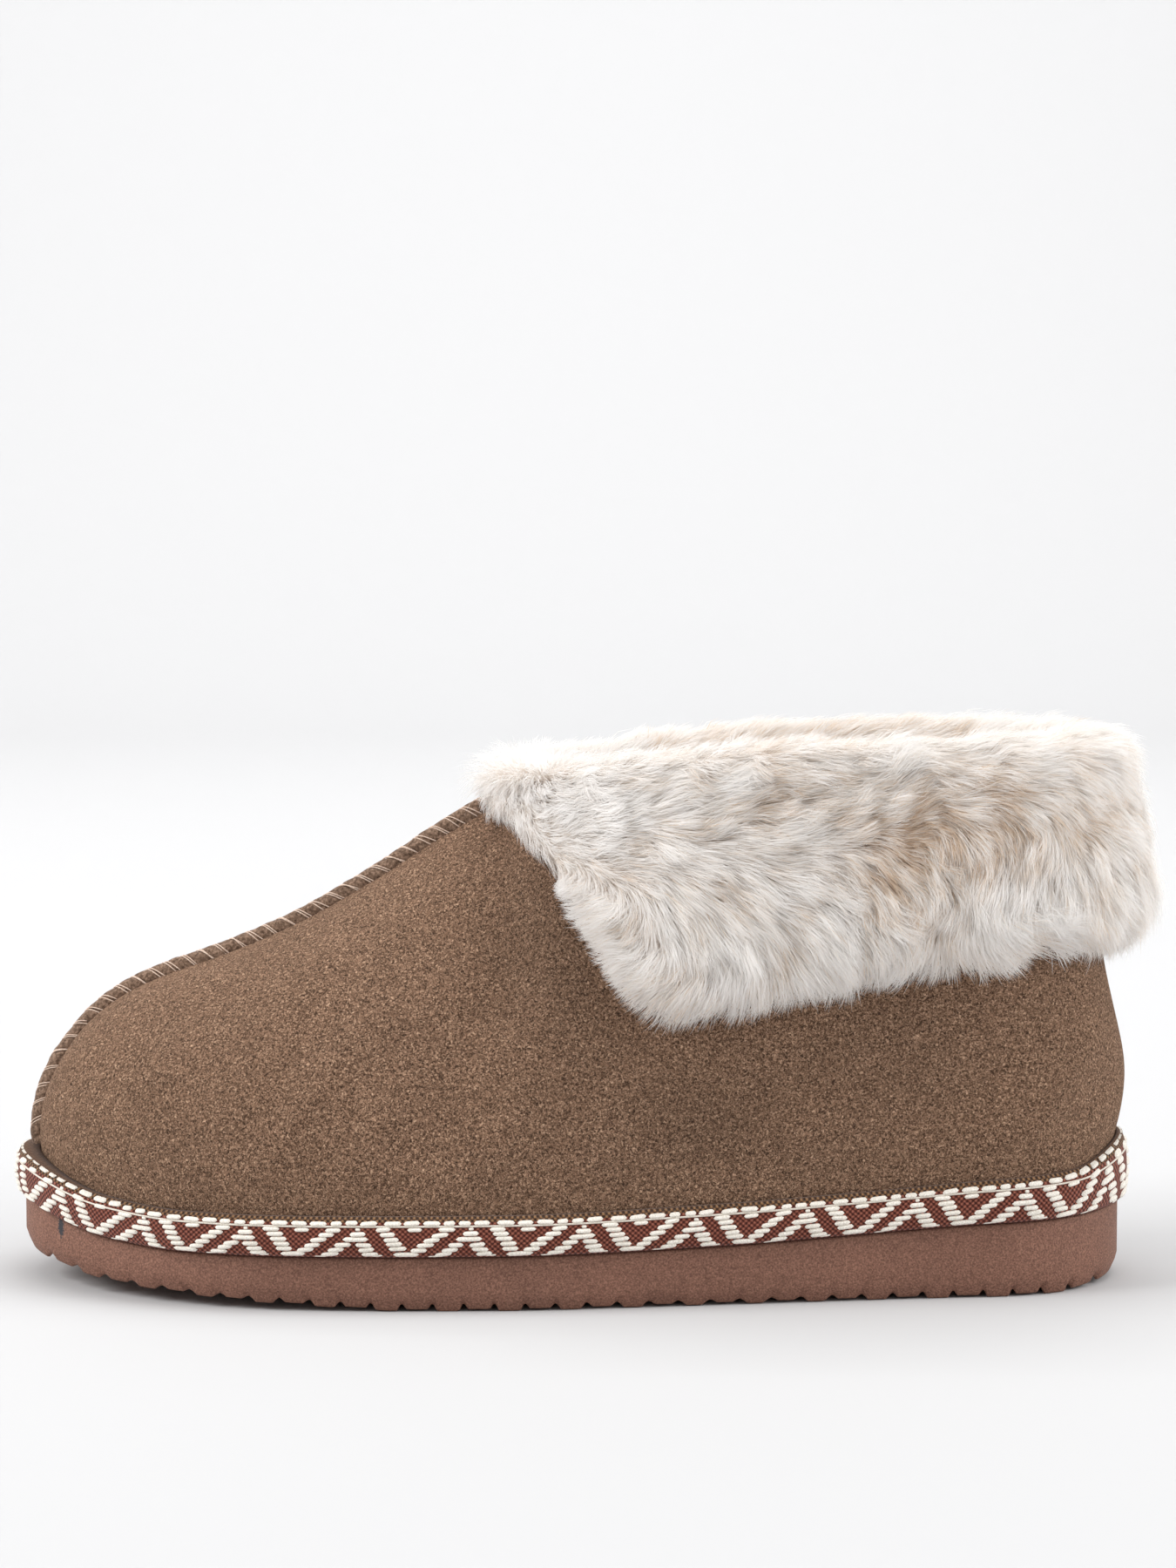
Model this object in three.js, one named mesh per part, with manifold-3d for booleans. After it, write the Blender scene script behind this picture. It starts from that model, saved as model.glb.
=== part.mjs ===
import * as THREE from "three";
import { mergeVertices } from "three/addons/utils/BufferGeometryUtils.js";
import Module from "manifold-3d";

// A left bootie slipper, empty, standing on its sole. Lengths are millimetres.
// The toe points to -X, the outer side of the foot lies at -Y and +Z is up.
// While it is made, x is measured from the toe tip of the sole; the whole shoe is centred at the end.

// Driving sizes of the sole
const LENGTH = 258; // outsole, toe tip to heel
const BALL_WIDTH = 95; // outsole across the ball
const HEEL_WIDTH = 64; // outsole across the heel
const TOE_ROUND = 60; // stretch over which the outline closes at the toe
const HEEL_ROUND = 34; // and at the heel
const SOLE_THICKNESS = 12.6; // edge of the outsole under the ball
const HEEL_LIFT = 5.9; // what the edge gains towards the heel
const TOE_SPRING = 6.6; // rise of the tread at the toe tip
const HEEL_BREAK = 1.5; // rise of the tread at the back of the heel
const SOLE_TUCK = 1.2; // by how much the sole's side draws in at the tread
const SOLE_TUCK_HEIGHT = 4; // height over which it draws in
const TOOTH_PITCH = 7; // from one tread notch to the next
const TOOTH_DEPTH = 1.75; // depth of a notch
const SHALLOW_TOOTH = 0.9; // every other tooth ends this far above the ground
const INSOLE_THICKNESS = 6;
const INSOLE_EDGE = 1.6; // rounding of the insole's upper edge

// Driving sizes of the upper
const WALL = 3; // suede with its backing
const BASE_INSET = 4; // from the outsole's edge to the upper's foot, at the toe tip
const BULGE = 6; // outward swell of the upper behind the heel
const TOE_RISE = 37; // start of the crest above the sole's edge
const TOE_SETBACK = 8.6; // and behind the toe tip
const INSTEP = 99.2; // crest at the throat above the sole's edge
const THROAT_AT = 112; // throat behind the toe tip
const RIM_RISE = 10.2; // what the rim gains from throat to heel
const COLLAR_WIDTH = 66; // rim across the ankle
const COLLAR_ROUND = 34; // stretch over which the rim closes at the heel
const HEEL_LEAN = 8; // rim in front of the outsole's heel end

// Driving sizes of the trims and the cuff
const BRAID_WIDTH = 9.8; // height of the tape
const BRAID_STAND = 2.2; // how far it stands out beyond the sole
const SEAM_WIDTH = 3.8;
const SEAM_HEIGHT = 3;
const SEAM_SUNK = 1.2; // root of the seam, cut off by the upper's face
const CUFF_DROP = 55; // rim to hem at the flap's front corner
const FUR_DEPTH = 13; // pile on the flap
const FUR_CREST = 7.5; // pile above the rim
const PILE_INSIDE = 8; // pile on the inner turn of the cuff
const INSIDE_DROP = 20; // depth of the inner turn below the rim
const LOCK_LENGTH = 15; // where the flap is shorter than this its locks fade
const LOCK_WIDTH = 7.6; // from lock to lock
const LOCK_DEPTH = 1.7; // swell of a lock and hollow beside it
const LOCK_FALL = 2.6; // by how much a lock's end hangs lower than its neighbours' gap
const GAP = 0.3; // between neighbouring pieces

// Mesh fineness
const STATIONS = 36; // sections from toe to heel
const THROAT_STATION = 17; // the section that ends at the throat
const ROWS = 9; // facets from braid to crest or rim
const WALL_LEVELS = 6; // facets of the cuff's hidden face
const RING = 2 * STATIONS;
const SAME_POINT = 1e-3; // corners nearer than this are one

// Outline of the sole. at: share of LENGTH. middle: of BALL_WIDTH, towards the inner side.
// ball and heel: how much of either half-width makes up the outline there, before it rounds off.
const PLAN = [
  { at: 0, middle: 0.042, ball: 0.874, heel: 0 },
  { at: 0.09, middle: 0.034, ball: 0.907, heel: 0 },
  { at: 0.16, middle: 0.018, ball: 0.945, heel: 0 },
  { at: 0.26, middle: 0, ball: 0.992, heel: 0 },
  { at: 0.32, middle: -0.005, ball: 1, heel: 0 },
  { at: 0.37, middle: -0.013, ball: 0.985, heel: 0 },
  { at: 0.48, middle: -0.034, ball: 0.62, heel: 0.44 },
  { at: 0.58, middle: -0.037, ball: 0.35, heel: 0.715 },
  { at: 0.7, middle: -0.026, ball: 0.15, heel: 0.9 },
  { at: 0.81, middle: -0.008, ball: 0.03, heel: 1 },
  { at: 0.91, middle: 0, ball: 0, heel: 1 },
  { at: 1, middle: 0, ball: 0, heel: 0.985 },
];

// Side of the sole. tread: of TOE_SPRING. back: of HEEL_BREAK. spring: of TOE_SPRING and
// lift: of HEEL_LIFT, both on the upper edge. tape: height of the braid, of BRAID_WIDTH.
const SIDE = [
  { at: 0, tread: 1, back: 0, spring: 1.03, lift: 0, tape: 1.06 },
  { at: 0.09, tread: 0.485, back: 0, spring: 0.18, lift: 0, tape: 0.97 },
  { at: 0.16, tread: 0.364, back: 0, spring: 0, lift: 0, tape: 0.96 },
  { at: 0.26, tread: 0.18, back: 0, spring: 0, lift: 0, tape: 0.96 },
  { at: 0.37, tread: 0, back: 0, spring: 0, lift: 0, tape: 0.97 },
  { at: 0.48, tread: 0, back: 0, spring: 0, lift: 0.03, tape: 0.97 },
  { at: 0.64, tread: 0, back: 0, spring: 0, lift: 0.22, tape: 1 },
  { at: 0.76, tread: 0, back: 0, spring: 0, lift: 0.51, tape: 1 },
  { at: 0.87, tread: 0, back: 0, spring: 0, lift: 0.78, tape: 1.04 },
  { at: 0.95, tread: 0, back: 0, spring: 0, lift: 0.88, tape: 1.12 },
  { at: 1, tread: 0, back: 1, spring: 0, lift: 1, tape: 1.58 },
];

// Crest of the upper, from its start above the toe to the throat. at: share of that stretch.
// rise: share of the climb from TOE_RISE to INSTEP.
const CREST = [
  { at: 0, rise: 0 },
  { at: 0.035, rise: 0.08 },
  { at: 0.083, rise: 0.174 },
  { at: 0.157, rise: 0.265 },
  { at: 0.234, rise: 0.327 },
  { at: 0.394, rise: 0.426 },
  { at: 0.553, rise: 0.543 },
  { at: 0.716, rise: 0.699 },
  { at: 0.874, rise: 0.873 },
  { at: 1, rise: 1 },
];

// Rim of the collar and the flaps turned down over it. at: share of the way from throat to heel.
// half: of half the COLLAR_WIDTH. rise: of RIM_RISE. drop: of CUFF_DROP. pile: of FUR_DEPTH.
const COLLAR = [
  { at: 0, half: 0, rise: 0, drop: 0.12, pile: 0.5 },
  { at: 0.05, half: 0.33, rise: 0.14, drop: 0.27, pile: 0.58 },
  { at: 0.1, half: 0.54, rise: 0.32, drop: 0.46, pile: 0.68 },
  { at: 0.15, half: 0.67, rise: 0.43, drop: 0.75, pile: 0.78 },
  { at: 0.2, half: 0.78, rise: 0.53, drop: 0.95, pile: 0.88 },
  { at: 0.3, half: 0.91, rise: 0.7, drop: 1, pile: 1 },
  { at: 0.42, half: 0.98, rise: 0.86, drop: 0.97, pile: 1 },
  { at: 0.6, half: 1, rise: 0.97, drop: 0.9, pile: 1 },
  { at: 0.8, half: 0.96, rise: 1, drop: 0.86, pile: 1.03 },
  { at: 1, half: 0.9, rise: 0.98, drop: 0.78, pile: 1.14 },
];

// Shape of the upper's sections. turn: share of the way from toe to heel. inset: of BASE_INSET.
// out: of BULGE, the swell above the braid. up: how high it reaches. side: how wide the shoulder is.
// drop: how far the shoulder lies below the crest or rim.
const SECTIONS = [
  { turn: 0, inset: 1, out: 0.12, up: 0.38, side: 0.74, drop: 0.33 },
  { turn: 0.1, inset: 0.68, out: 0.3, up: 0.5, side: 0.6, drop: 0.1 },
  { turn: 0.2, inset: 0.32, out: 0.5, up: 0.52, side: 0.53, drop: 0.04 },
  { turn: 0.35, inset: 0.18, out: 0.62, up: 0.5, side: 0.5, drop: 0.04 },
  { turn: 0.47, inset: 0.16, out: 0.55, up: 0.45, side: 0.42, drop: 0.1 },
  { turn: 0.6, inset: 0.16, out: 0.6, up: 0.34, side: 0.32, drop: 0.28 },
  { turn: 0.8, inset: 0.12, out: 0.72, up: 0.3, side: 0.28, drop: 0.33 },
  { turn: 1, inset: 0.21, out: 1.27, up: 0.3, side: 0.12, drop: 0.79 },
];

// How the crest's stations crowd towards the toe.
const CREST_PACE = 1.5;
// The flap's pile from hem to rim, in shingled rows of locks. pile: of its depth there.
// lock: how far the locks stand out here, of LOCK_DEPTH. fall: how far they hang, of LOCK_FALL.
const PILE_PROFILE = [
  { pile: 0.42, lock: 0.35, fall: 1 },
  { pile: 0.84, lock: 0.8, fall: 1 },
  { pile: 0.86, lock: -0.3, fall: -0.2 },
  { pile: 1, lock: -1, fall: -0.6 },
  { pile: 0.9, lock: 0.3, fall: 0.2 },
  { pile: 1.03, lock: 1, fall: 0.6 },
  { pile: 0.9, lock: -0.3, fall: -0.2 },
  { pile: 0.98, lock: -0.9, fall: -0.5 },
  { pile: 0.84, lock: 0.3, fall: 0 },
];
// The roll over the rim. pile: out of the wall, of the pile's depth. inside: past the wall, of
// PILE_INSIDE. up: of FUR_CREST. lock: how far its locks stand up, of LOCK_DEPTH.
const CREST_PROFILE = [
  { pile: 0.62, inside: 0, up: 0.5, lock: 0.2 },
  { pile: 0.2, inside: 0, up: 0.95, lock: 0.4 },
  { pile: 0, inside: 0.35, up: 1, lock: 0.4 },
  { pile: 0, inside: 0.85, up: 0.5, lock: 0 },
];
// Profile of the inner turn below the rim: down, of INSIDE_DROP, and thickness, of PILE_INSIDE.
const INSIDE_PROFILE = [
  { down: 0, thick: 1 },
  { down: 0.5, thick: 0.9 },
  { down: 1, thick: 0.4 },
];

const UP = new THREE.Vector3(0, 0, 1);
const wasm = await Module();
wasm.setup();

// A smooth curve through one column of a table that never overshoots its rows.
function column(table, name, key = "at") {
  const x = table.map((row) => row[key]);
  const y = table.map((row) => row[name]);
  const step = x.slice(1).map((next, i) => (y[i + 1] - y[i]) / (next - x[i]));
  const slope = y.map((_, i) => {
    if (i === 0) return step[0];
    if (i === y.length - 1) return step[i - 1];
    return step[i - 1] * step[i] <= 0 ? 0 : (2 * step[i - 1] * step[i]) / (step[i - 1] + step[i]);
  });
  return (at) => {
    const place = THREE.MathUtils.clamp(at, x[0], x[x.length - 1]);
    const i = Math.max(0, x.findIndex((edge, n) => n > 0 && place <= edge) - 1);
    const span = x[i + 1] - x[i];
    const u = (place - x[i]) / span;
    const v = 1 - u;
    return (
      y[i] * (1 + 2 * u) * v * v +
      slope[i] * span * u * v * v +
      y[i + 1] * u * u * (3 - 2 * u) -
      slope[i + 1] * span * u * u * v
    );
  };
}

const plan = { middle: column(PLAN, "middle"), ball: column(PLAN, "ball"), heel: column(PLAN, "heel") };
const side = {
  tread: column(SIDE, "tread"),
  back: column(SIDE, "back"),
  spring: column(SIDE, "spring"),
  lift: column(SIDE, "lift"),
  tape: column(SIDE, "tape"),
};
const collar = {
  half: column(COLLAR, "half"),
  rise: column(COLLAR, "rise"),
  drop: column(COLLAR, "drop"),
  pile: column(COLLAR, "pile"),
};
const section = {
  inset: column(SECTIONS, "inset", "turn"),
  out: column(SECTIONS, "out", "turn"),
  up: column(SECTIONS, "up", "turn"),
  side: column(SECTIONS, "side", "turn"),
  drop: column(SECTIONS, "drop", "turn"),
};
const crestRise = column(CREST, "rise");

// A quarter of an ellipse that closes an outline over the given stretch.
function rounded(distance, stretch) {
  const open = 1 - Math.min(1, Math.max(0, distance / stretch));
  return Math.sqrt(1 - open * open);
}

// Triangles are collected as corner points, then joined into one closed geometry.
function quad(faces, a, b, c, d) {
  faces.push(a, b, c, a, c, d);
}

// Joins equal corners and drops triangles that have no area or that lie back to back.
function joined(loose) {
  const merged = mergeVertices(loose, SAME_POINT);
  const index = Array.from(merged.index.array);
  const kept = new Map();
  for (let i = 0; i < index.length; i += 3) {
    const corners = index.slice(i, i + 3);
    const key = [...corners].sort((a, b) => a - b).join();
    if (new Set(corners).size < 3) continue;
    if (kept.has(key)) kept.delete(key);
    else kept.set(key, corners);
  }
  merged.setIndex([...kept.values()].flat());
  return merged;
}

function closedGeometry(faces) {
  return joined(new THREE.BufferGeometry().setFromPoints(faces));
}

function toSolid(geometry) {
  const bare = geometry.clone();
  bare.deleteAttribute("normal");
  bare.deleteAttribute("uv");
  const clean = joined(bare);
  return new wasm.Manifold(
    new wasm.Mesh({
      numProp: 3,
      vertProperties: clean.attributes.position.array,
      triVerts: new Uint32Array(clean.index.array),
    }),
  );
}

function toGeometry(body) {
  const mesh = body.getMesh();
  const geometry = new THREE.BufferGeometry();
  geometry.setAttribute("position", new THREE.BufferAttribute(new Float32Array(mesh.vertProperties), 3));
  geometry.setIndex(Array.from(mesh.triVerts));
  return geometry;
}

// Point of the sole's outline at a turn round the ring: 0 is the toe tip, STATIONS the heel and
// the inner side follows. inset moves it in along the outline's own normal.
function bareOutline(turn) {
  const along = turn <= STATIONS ? turn : RING - turn;
  const x = (LENGTH / 2) * (1 - Math.cos((Math.PI * along) / STATIONS));
  const half =
    (plan.ball(x / LENGTH) * BALL_WIDTH + plan.heel(x / LENGTH) * HEEL_WIDTH) *
    0.5 *
    rounded(x, TOE_ROUND) *
    rounded(LENGTH - x, HEEL_ROUND);
  const hand = turn <= STATIONS ? -1 : 1;
  return new THREE.Vector3(x, plan.middle(x / LENGTH) * BALL_WIDTH + hand * half, 0);
}

function outlineNormal(turn) {
  const reach = 0.05;
  const ahead = bareOutline((turn + reach) % RING);
  const behind = bareOutline((turn - reach + RING) % RING);
  return ahead.sub(behind).cross(UP).normalize();
}

function outline(turn, inset) {
  return bareOutline(turn).addScaledVector(outlineNormal(turn), -inset);
}

function treadHeight(x) {
  return side.tread(x / LENGTH) * TOE_SPRING + side.back(x / LENGTH) * HEEL_BREAK;
}

function edgeHeight(x) {
  return SOLE_THICKNESS + side.spring(x / LENGTH) * TOE_SPRING + side.lift(x / LENGTH) * HEEL_LIFT;
}

// A ring of points round the outline at heights that follow a function of x.
function ringAt(insetOf, heightOf) {
  return Array.from({ length: RING }, (_, turn) => {
    const onEdge = bareOutline(turn);
    const point = outline(turn, insetOf(turn));
    point.z = heightOf(onEdge.x);
    return point;
  });
}

// Rings stacked from bottom to top, closed by strips from side to side.
function stackedRings(rings) {
  const faces = [];
  rings.slice(1).forEach((upper, level) => {
    const lower = rings[level];
    lower.forEach((point, turn) => {
      const next = (turn + 1) % RING;
      quad(faces, point, lower[next], upper[next], upper[turn]);
    });
  });
  const bottom = rings[0];
  const top = rings[rings.length - 1];
  for (let turn = 0; turn < STATIONS; turn += 1) {
    const far = (RING - turn) % RING;
    const farNext = RING - turn - 1;
    quad(faces, top[turn], top[turn + 1], top[farNext], top[far]);
    quad(faces, bottom[far], bottom[farNext], bottom[turn + 1], bottom[turn]);
  }
  return closedGeometry(faces);
}

// The tread's saw line from toe to heel, with everything below it, as wide as the sole.
function treadCutter() {
  const below = -2 * SOLE_THICKNESS;
  const teeth = Math.ceil(LENGTH / TOOTH_PITCH);
  const shape = new THREE.Shape();
  shape.moveTo(-TOOTH_PITCH, below);
  shape.lineTo(-TOOTH_PITCH, treadHeight(0));
  for (let tooth = 0; tooth < teeth; tooth += 1) {
    const start = tooth * TOOTH_PITCH;
    const deep = tooth % 2 === 0;
    const flank = TOOTH_PITCH * (deep ? 0.17 : 0.24);
    const short = deep ? 0 : SHALLOW_TOOTH;
    const end = start + TOOTH_PITCH;
    shape.lineTo(start, treadHeight(start) + TOOTH_DEPTH);
    shape.lineTo(start + flank, treadHeight(start + flank) + short);
    shape.lineTo(end - flank, treadHeight(end - flank) + short);
  }
  const last = teeth * TOOTH_PITCH;
  shape.lineTo(last, treadHeight(last) + TOOTH_DEPTH);
  shape.lineTo(last + TOOTH_PITCH, treadHeight(last) + TOOTH_DEPTH);
  shape.lineTo(last + TOOTH_PITCH, below);
  shape.closePath();
  const width = 2 * BALL_WIDTH;
  const cutter = new THREE.ExtrudeGeometry(shape, { depth: width, bevelEnabled: false });
  cutter.rotateX(Math.PI / 2);
  cutter.translate(0, width / 2, 0);
  return toSolid(cutter);
}

function outsoleGeometry() {
  const raw = stackedRings([
    ringAt(() => SOLE_TUCK, () => -TOOTH_DEPTH),
    ringAt(() => 0, (x) => treadHeight(x) + SOLE_TUCK_HEIGHT),
    ringAt(() => 0, edgeHeight),
  ]);
  return toGeometry(toSolid(raw).subtract(treadCutter()));
}

function baseInset(turn) {
  const along = turn <= STATIONS ? turn : RING - turn;
  return section.inset(along / STATIONS) * BASE_INSET;
}

function insoleGeometry() {
  const inset = (turn) => baseInset(turn) + WALL + GAP;
  const floor = (x) => edgeHeight(x) + GAP;
  return stackedRings([
    ringAt(inset, floor),
    ringAt(inset, (x) => floor(x) + INSOLE_THICKNESS - INSOLE_EDGE),
    ringAt((turn) => inset(turn) + INSOLE_EDGE, (x) => floor(x) + INSOLE_THICKNESS),
  ]);
}

function tapeTop(x) {
  return edgeHeight(x) + side.tape(x / LENGTH) * BRAID_WIDTH;
}

// Share of the way from throat to heel at a station behind the throat.
function openingShare(along) {
  const place = (n) => 0.5 * (1 - Math.cos((Math.PI * n) / STATIONS));
  return (place(along) - place(THROAT_STATION)) / (1 - place(THROAT_STATION));
}

// Where a section ends: on the crest in front of the throat, on the rim behind it.
function topPoint(turn) {
  const along = turn <= STATIONS ? turn : RING - turn;
  const hand = turn <= STATIONS ? -1 : 1;
  if (along <= THROAT_STATION) {
    const share = (along / THROAT_STATION) ** CREST_PACE;
    const x = TOE_SETBACK + share * (THROAT_AT - TOE_SETBACK);
    const rise = TOE_RISE + crestRise(share) * (INSTEP - TOE_RISE);
    const middle = Math.max(0, plan.middle(x / LENGTH)) * BALL_WIDTH;
    return new THREE.Vector3(x, middle, SOLE_THICKNESS + rise);
  }
  const share = openingShare(along);
  const stretch = LENGTH - HEEL_LEAN - THROAT_AT;
  const half = 0.5 * collar.half(share) * COLLAR_WIDTH * rounded((1 - share) * stretch, COLLAR_ROUND);
  const height = SOLE_THICKNESS + INSTEP + collar.rise(share) * RIM_RISE;
  return new THREE.Vector3(THROAT_AT + share * stretch, hand * half, height);
}

// A section of the upper: a curve that rises from the braid's upper edge, swells and turns in.
function sectionCurve(turn) {
  const share = (turn <= STATIONS ? turn : RING - turn) / STATIONS;
  const foot = outline(turn, baseInset(turn));
  foot.z = tapeTop(bareOutline(turn).x);
  const top = topPoint(turn);
  const height = top.z - foot.z;
  const swell = foot
    .clone()
    .addScaledVector(outlineNormal(turn), section.out(share) * BULGE)
    .addScaledVector(UP, section.up(share) * height);
  const shoulder = top.clone().lerp(foot, section.side(share));
  shoulder.z = top.z - section.drop(share) * height;
  return new THREE.CubicBezierCurve3(foot, swell, shoulder, top);
}

// Corner points of the upper's outer face, row 0 on the sole and row 1 at the braid's upper edge,
// with the normal at each. Both sides share the crest.
function upperFace() {
  const points = [];
  for (let turn = 0; turn < RING; turn += 1) {
    const curve = sectionCurve(turn);
    const base = curve.v0.clone();
    base.z = edgeHeight(bareOutline(turn).x) + GAP;
    const rows = [base];
    for (let row = 0; row <= ROWS; row += 1) rows.push(curve.getPoint(row / ROWS));
    points.push(rows);
  }
  const normals = points.map((rows) => rows.map(() => new THREE.Vector3()));
  const crestOf = (turn, row) => {
    const zipped = row === ROWS + 1 && turn > STATIONS && RING - turn <= THROAT_STATION;
    return zipped ? RING - turn : turn;
  };
  const gather = (corners) => {
    const [a, b, c] = corners.map(([turn, row]) => points[turn][row]);
    const normal = b.clone().sub(a).cross(c.clone().sub(a));
    corners.forEach(([turn, row]) => normals[crestOf(turn, row)][row].add(normal));
  };
  for (let turn = 0; turn < RING; turn += 1) {
    const next = (turn + 1) % RING;
    for (let row = 0; row <= ROWS; row += 1) {
      gather([[turn, row], [next, row], [next, row + 1]]);
      gather([[turn, row], [next, row + 1], [turn, row + 1]]);
    }
  }
  normals.forEach((rows) => rows.forEach((normal) => normal.normalize()));
  normals.forEach((rows, turn) => {
    rows[ROWS + 1].copy(normals[crestOf(turn, ROWS + 1)][ROWS + 1]);
    const foot = outlineNormal(turn);
    rows[0].copy(foot);
    rows[1].add(foot).normalize();
  });
  return { points, normals };
}

const face = upperFace();

// Point at a height share of a section, 0 at the braid and 1 at the rim, moved out along the normal.
function onUpper(turn, share, out) {
  const place = 1 + THREE.MathUtils.clamp(share, 0, 1) * ROWS;
  const row = Math.min(ROWS, Math.floor(place));
  const rest = place - row;
  const normal = face.normals[turn][row].clone().lerp(face.normals[turn][row + 1], rest).normalize();
  return face.points[turn][row].clone().lerp(face.points[turn][row + 1], rest).addScaledVector(normal, out);
}

// The height share at which a section lies the given drop below its rim.
function shareBelowRim(turn, drop) {
  const rim = face.points[turn][ROWS + 1].z;
  let low = 0;
  let high = 1;
  for (let step = 0; step < 24; step += 1) {
    const middle = (low + high) / 2;
    if (onUpper(turn, middle, 0).z > rim - drop) high = middle;
    else low = middle;
  }
  return low;
}

// The upper's hollow wall between two distances from its outer face. grow raises rim and lowers foot.
function wallGeometry(outside, inside, grow) {
  const shifted = (distance) =>
    face.points.map((rows, turn) =>
      rows.map((point, row) => {
        const moved = point.clone().addScaledVector(face.normals[turn][row], distance);
        const along = Math.min(turn, RING - turn);
        if (row === 0) moved.z = point.z - grow;
        if (row === ROWS + 1 && along === THROAT_STATION) moved.z += grow;
        if (row === ROWS + 1 && along > THROAT_STATION) moved.z = point.z + grow;
        return moved;
      }),
    );
  const outer = shifted(outside);
  const inner = shifted(-inside);
  const faces = [];
  for (let turn = 0; turn < RING; turn += 1) {
    const next = (turn + 1) % RING;
    for (let row = 0; row <= ROWS; row += 1) {
      quad(faces, outer[turn][row], outer[next][row], outer[next][row + 1], outer[turn][row + 1]);
      quad(faces, inner[turn][row + 1], inner[next][row + 1], inner[next][row], inner[turn][row]);
    }
    quad(faces, inner[turn][0], inner[next][0], outer[next][0], outer[turn][0]);
    if (turn >= THROAT_STATION && turn < RING - THROAT_STATION) {
      const top = ROWS + 1;
      quad(faces, outer[turn][top], outer[next][top], inner[next][top], inner[turn][top]);
    }
  }
  return closedGeometry(faces);
}

function braidGeometry() {
  const faces = [];
  const profile = Array.from({ length: RING }, (_, turn) => {
    const x = bareOutline(turn).x;
    const bottom = edgeHeight(x) + GAP;
    const height = tapeTop(x) - bottom;
    const back = baseInset(turn) - GAP;
    const at = (out, up) => {
      const point = outline(turn, -out);
      point.z = bottom + up * height;
      return point;
    };
    return [
      at(-back, 0),
      at(0.35 * BRAID_STAND, 0),
      at(0.88 * BRAID_STAND, 0.16),
      at(BRAID_STAND, 0.45),
      at(0.82 * BRAID_STAND, 0.78),
      at(0.15 * BRAID_STAND, 1),
      at(-back, 1),
    ];
  });
  profile.forEach((here, turn) => {
    const next = profile[(turn + 1) % RING];
    here.forEach((point, n) => {
      const after = (n + 1) % here.length;
      quad(faces, point, next[n], next[after], here[after]);
    });
  });
  return closedGeometry(faces);
}

// The way of the raised seam: up the front of the toe, then along the crest to the throat.
function seamPath() {
  const path = [];
  for (let row = 1; row <= ROWS; row += 1) path.push([0, row]);
  for (let turn = 0; turn <= THROAT_STATION; turn += 1) path.push([turn, ROWS + 1]);
  return path.map(([turn, row]) => ({ point: face.points[turn][row], normal: face.normals[turn][row] }));
}

// The seam as a rounded strand whose root is sunk into the upper. grow thickens it all round.
function seamStrand(grow) {
  const half = SEAM_WIDTH / 2 + grow;
  const high = SEAM_HEIGHT + grow;
  const outlineOfSeam = [
    [-half, -SEAM_SUNK],
    [half, -SEAM_SUNK],
    [half, 0.5 * high],
    [0.62 * half, 0.88 * high],
    [0, high],
    [-0.62 * half, 0.88 * high],
    [-half, 0.5 * high],
  ];
  const path = seamPath();
  const rings = path.map(({ point, normal }, n) => {
    const ahead = path[Math.min(n + 1, path.length - 1)].point;
    const behind = path[Math.max(n - 1, 0)].point;
    const tangent = ahead.clone().sub(behind).normalize();
    const across = tangent.clone().cross(normal).normalize();
    const upright = across.clone().cross(tangent);
    const shift = n === 0 ? GAP - grow : n === path.length - 1 ? grow : 0;
    const start = point.clone().addScaledVector(tangent, shift);
    return outlineOfSeam.map(([wide, out]) =>
      start.clone().addScaledVector(across, wide).addScaledVector(upright, out),
    );
  });
  const faces = [];
  rings.slice(1).forEach((next, n) => {
    const here = rings[n];
    here.forEach((point, m) => {
      const after = (m + 1) % here.length;
      quad(faces, point, next[m], next[after], here[after]);
    });
  });
  const first = rings[0];
  const last = rings[rings.length - 1];
  for (let m = 1; m < first.length - 1; m += 1) {
    faces.push(first[0], first[m], first[m + 1]);
    faces.push(last[0], last[m + 1], last[m]);
  }
  return toSolid(closedGeometry(faces));
}

// The room that the upper and its seam take, with the gap to what lies on them.
function seatOfTrims() {
  return toSolid(wallGeometry(GAP, WALL + GAP, GAP));
}

function seamGeometry() {
  return toGeometry(seamStrand(0).subtract(seatOfTrims()));
}

// Like onUpper, between two sections.
function betweenSections(turn, share, out) {
  const n = Math.min(RING - 1, Math.floor(turn));
  return onUpper(n, share, out).lerp(onUpper((n + 1) % RING, share, out), turn - n);
}

function rimDrop(turn, drop) {
  const n = Math.floor(turn);
  return THREE.MathUtils.lerp(shareBelowRim(n, drop), shareBelowRim((n + 1) % RING, drop), turn - n);
}

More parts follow.
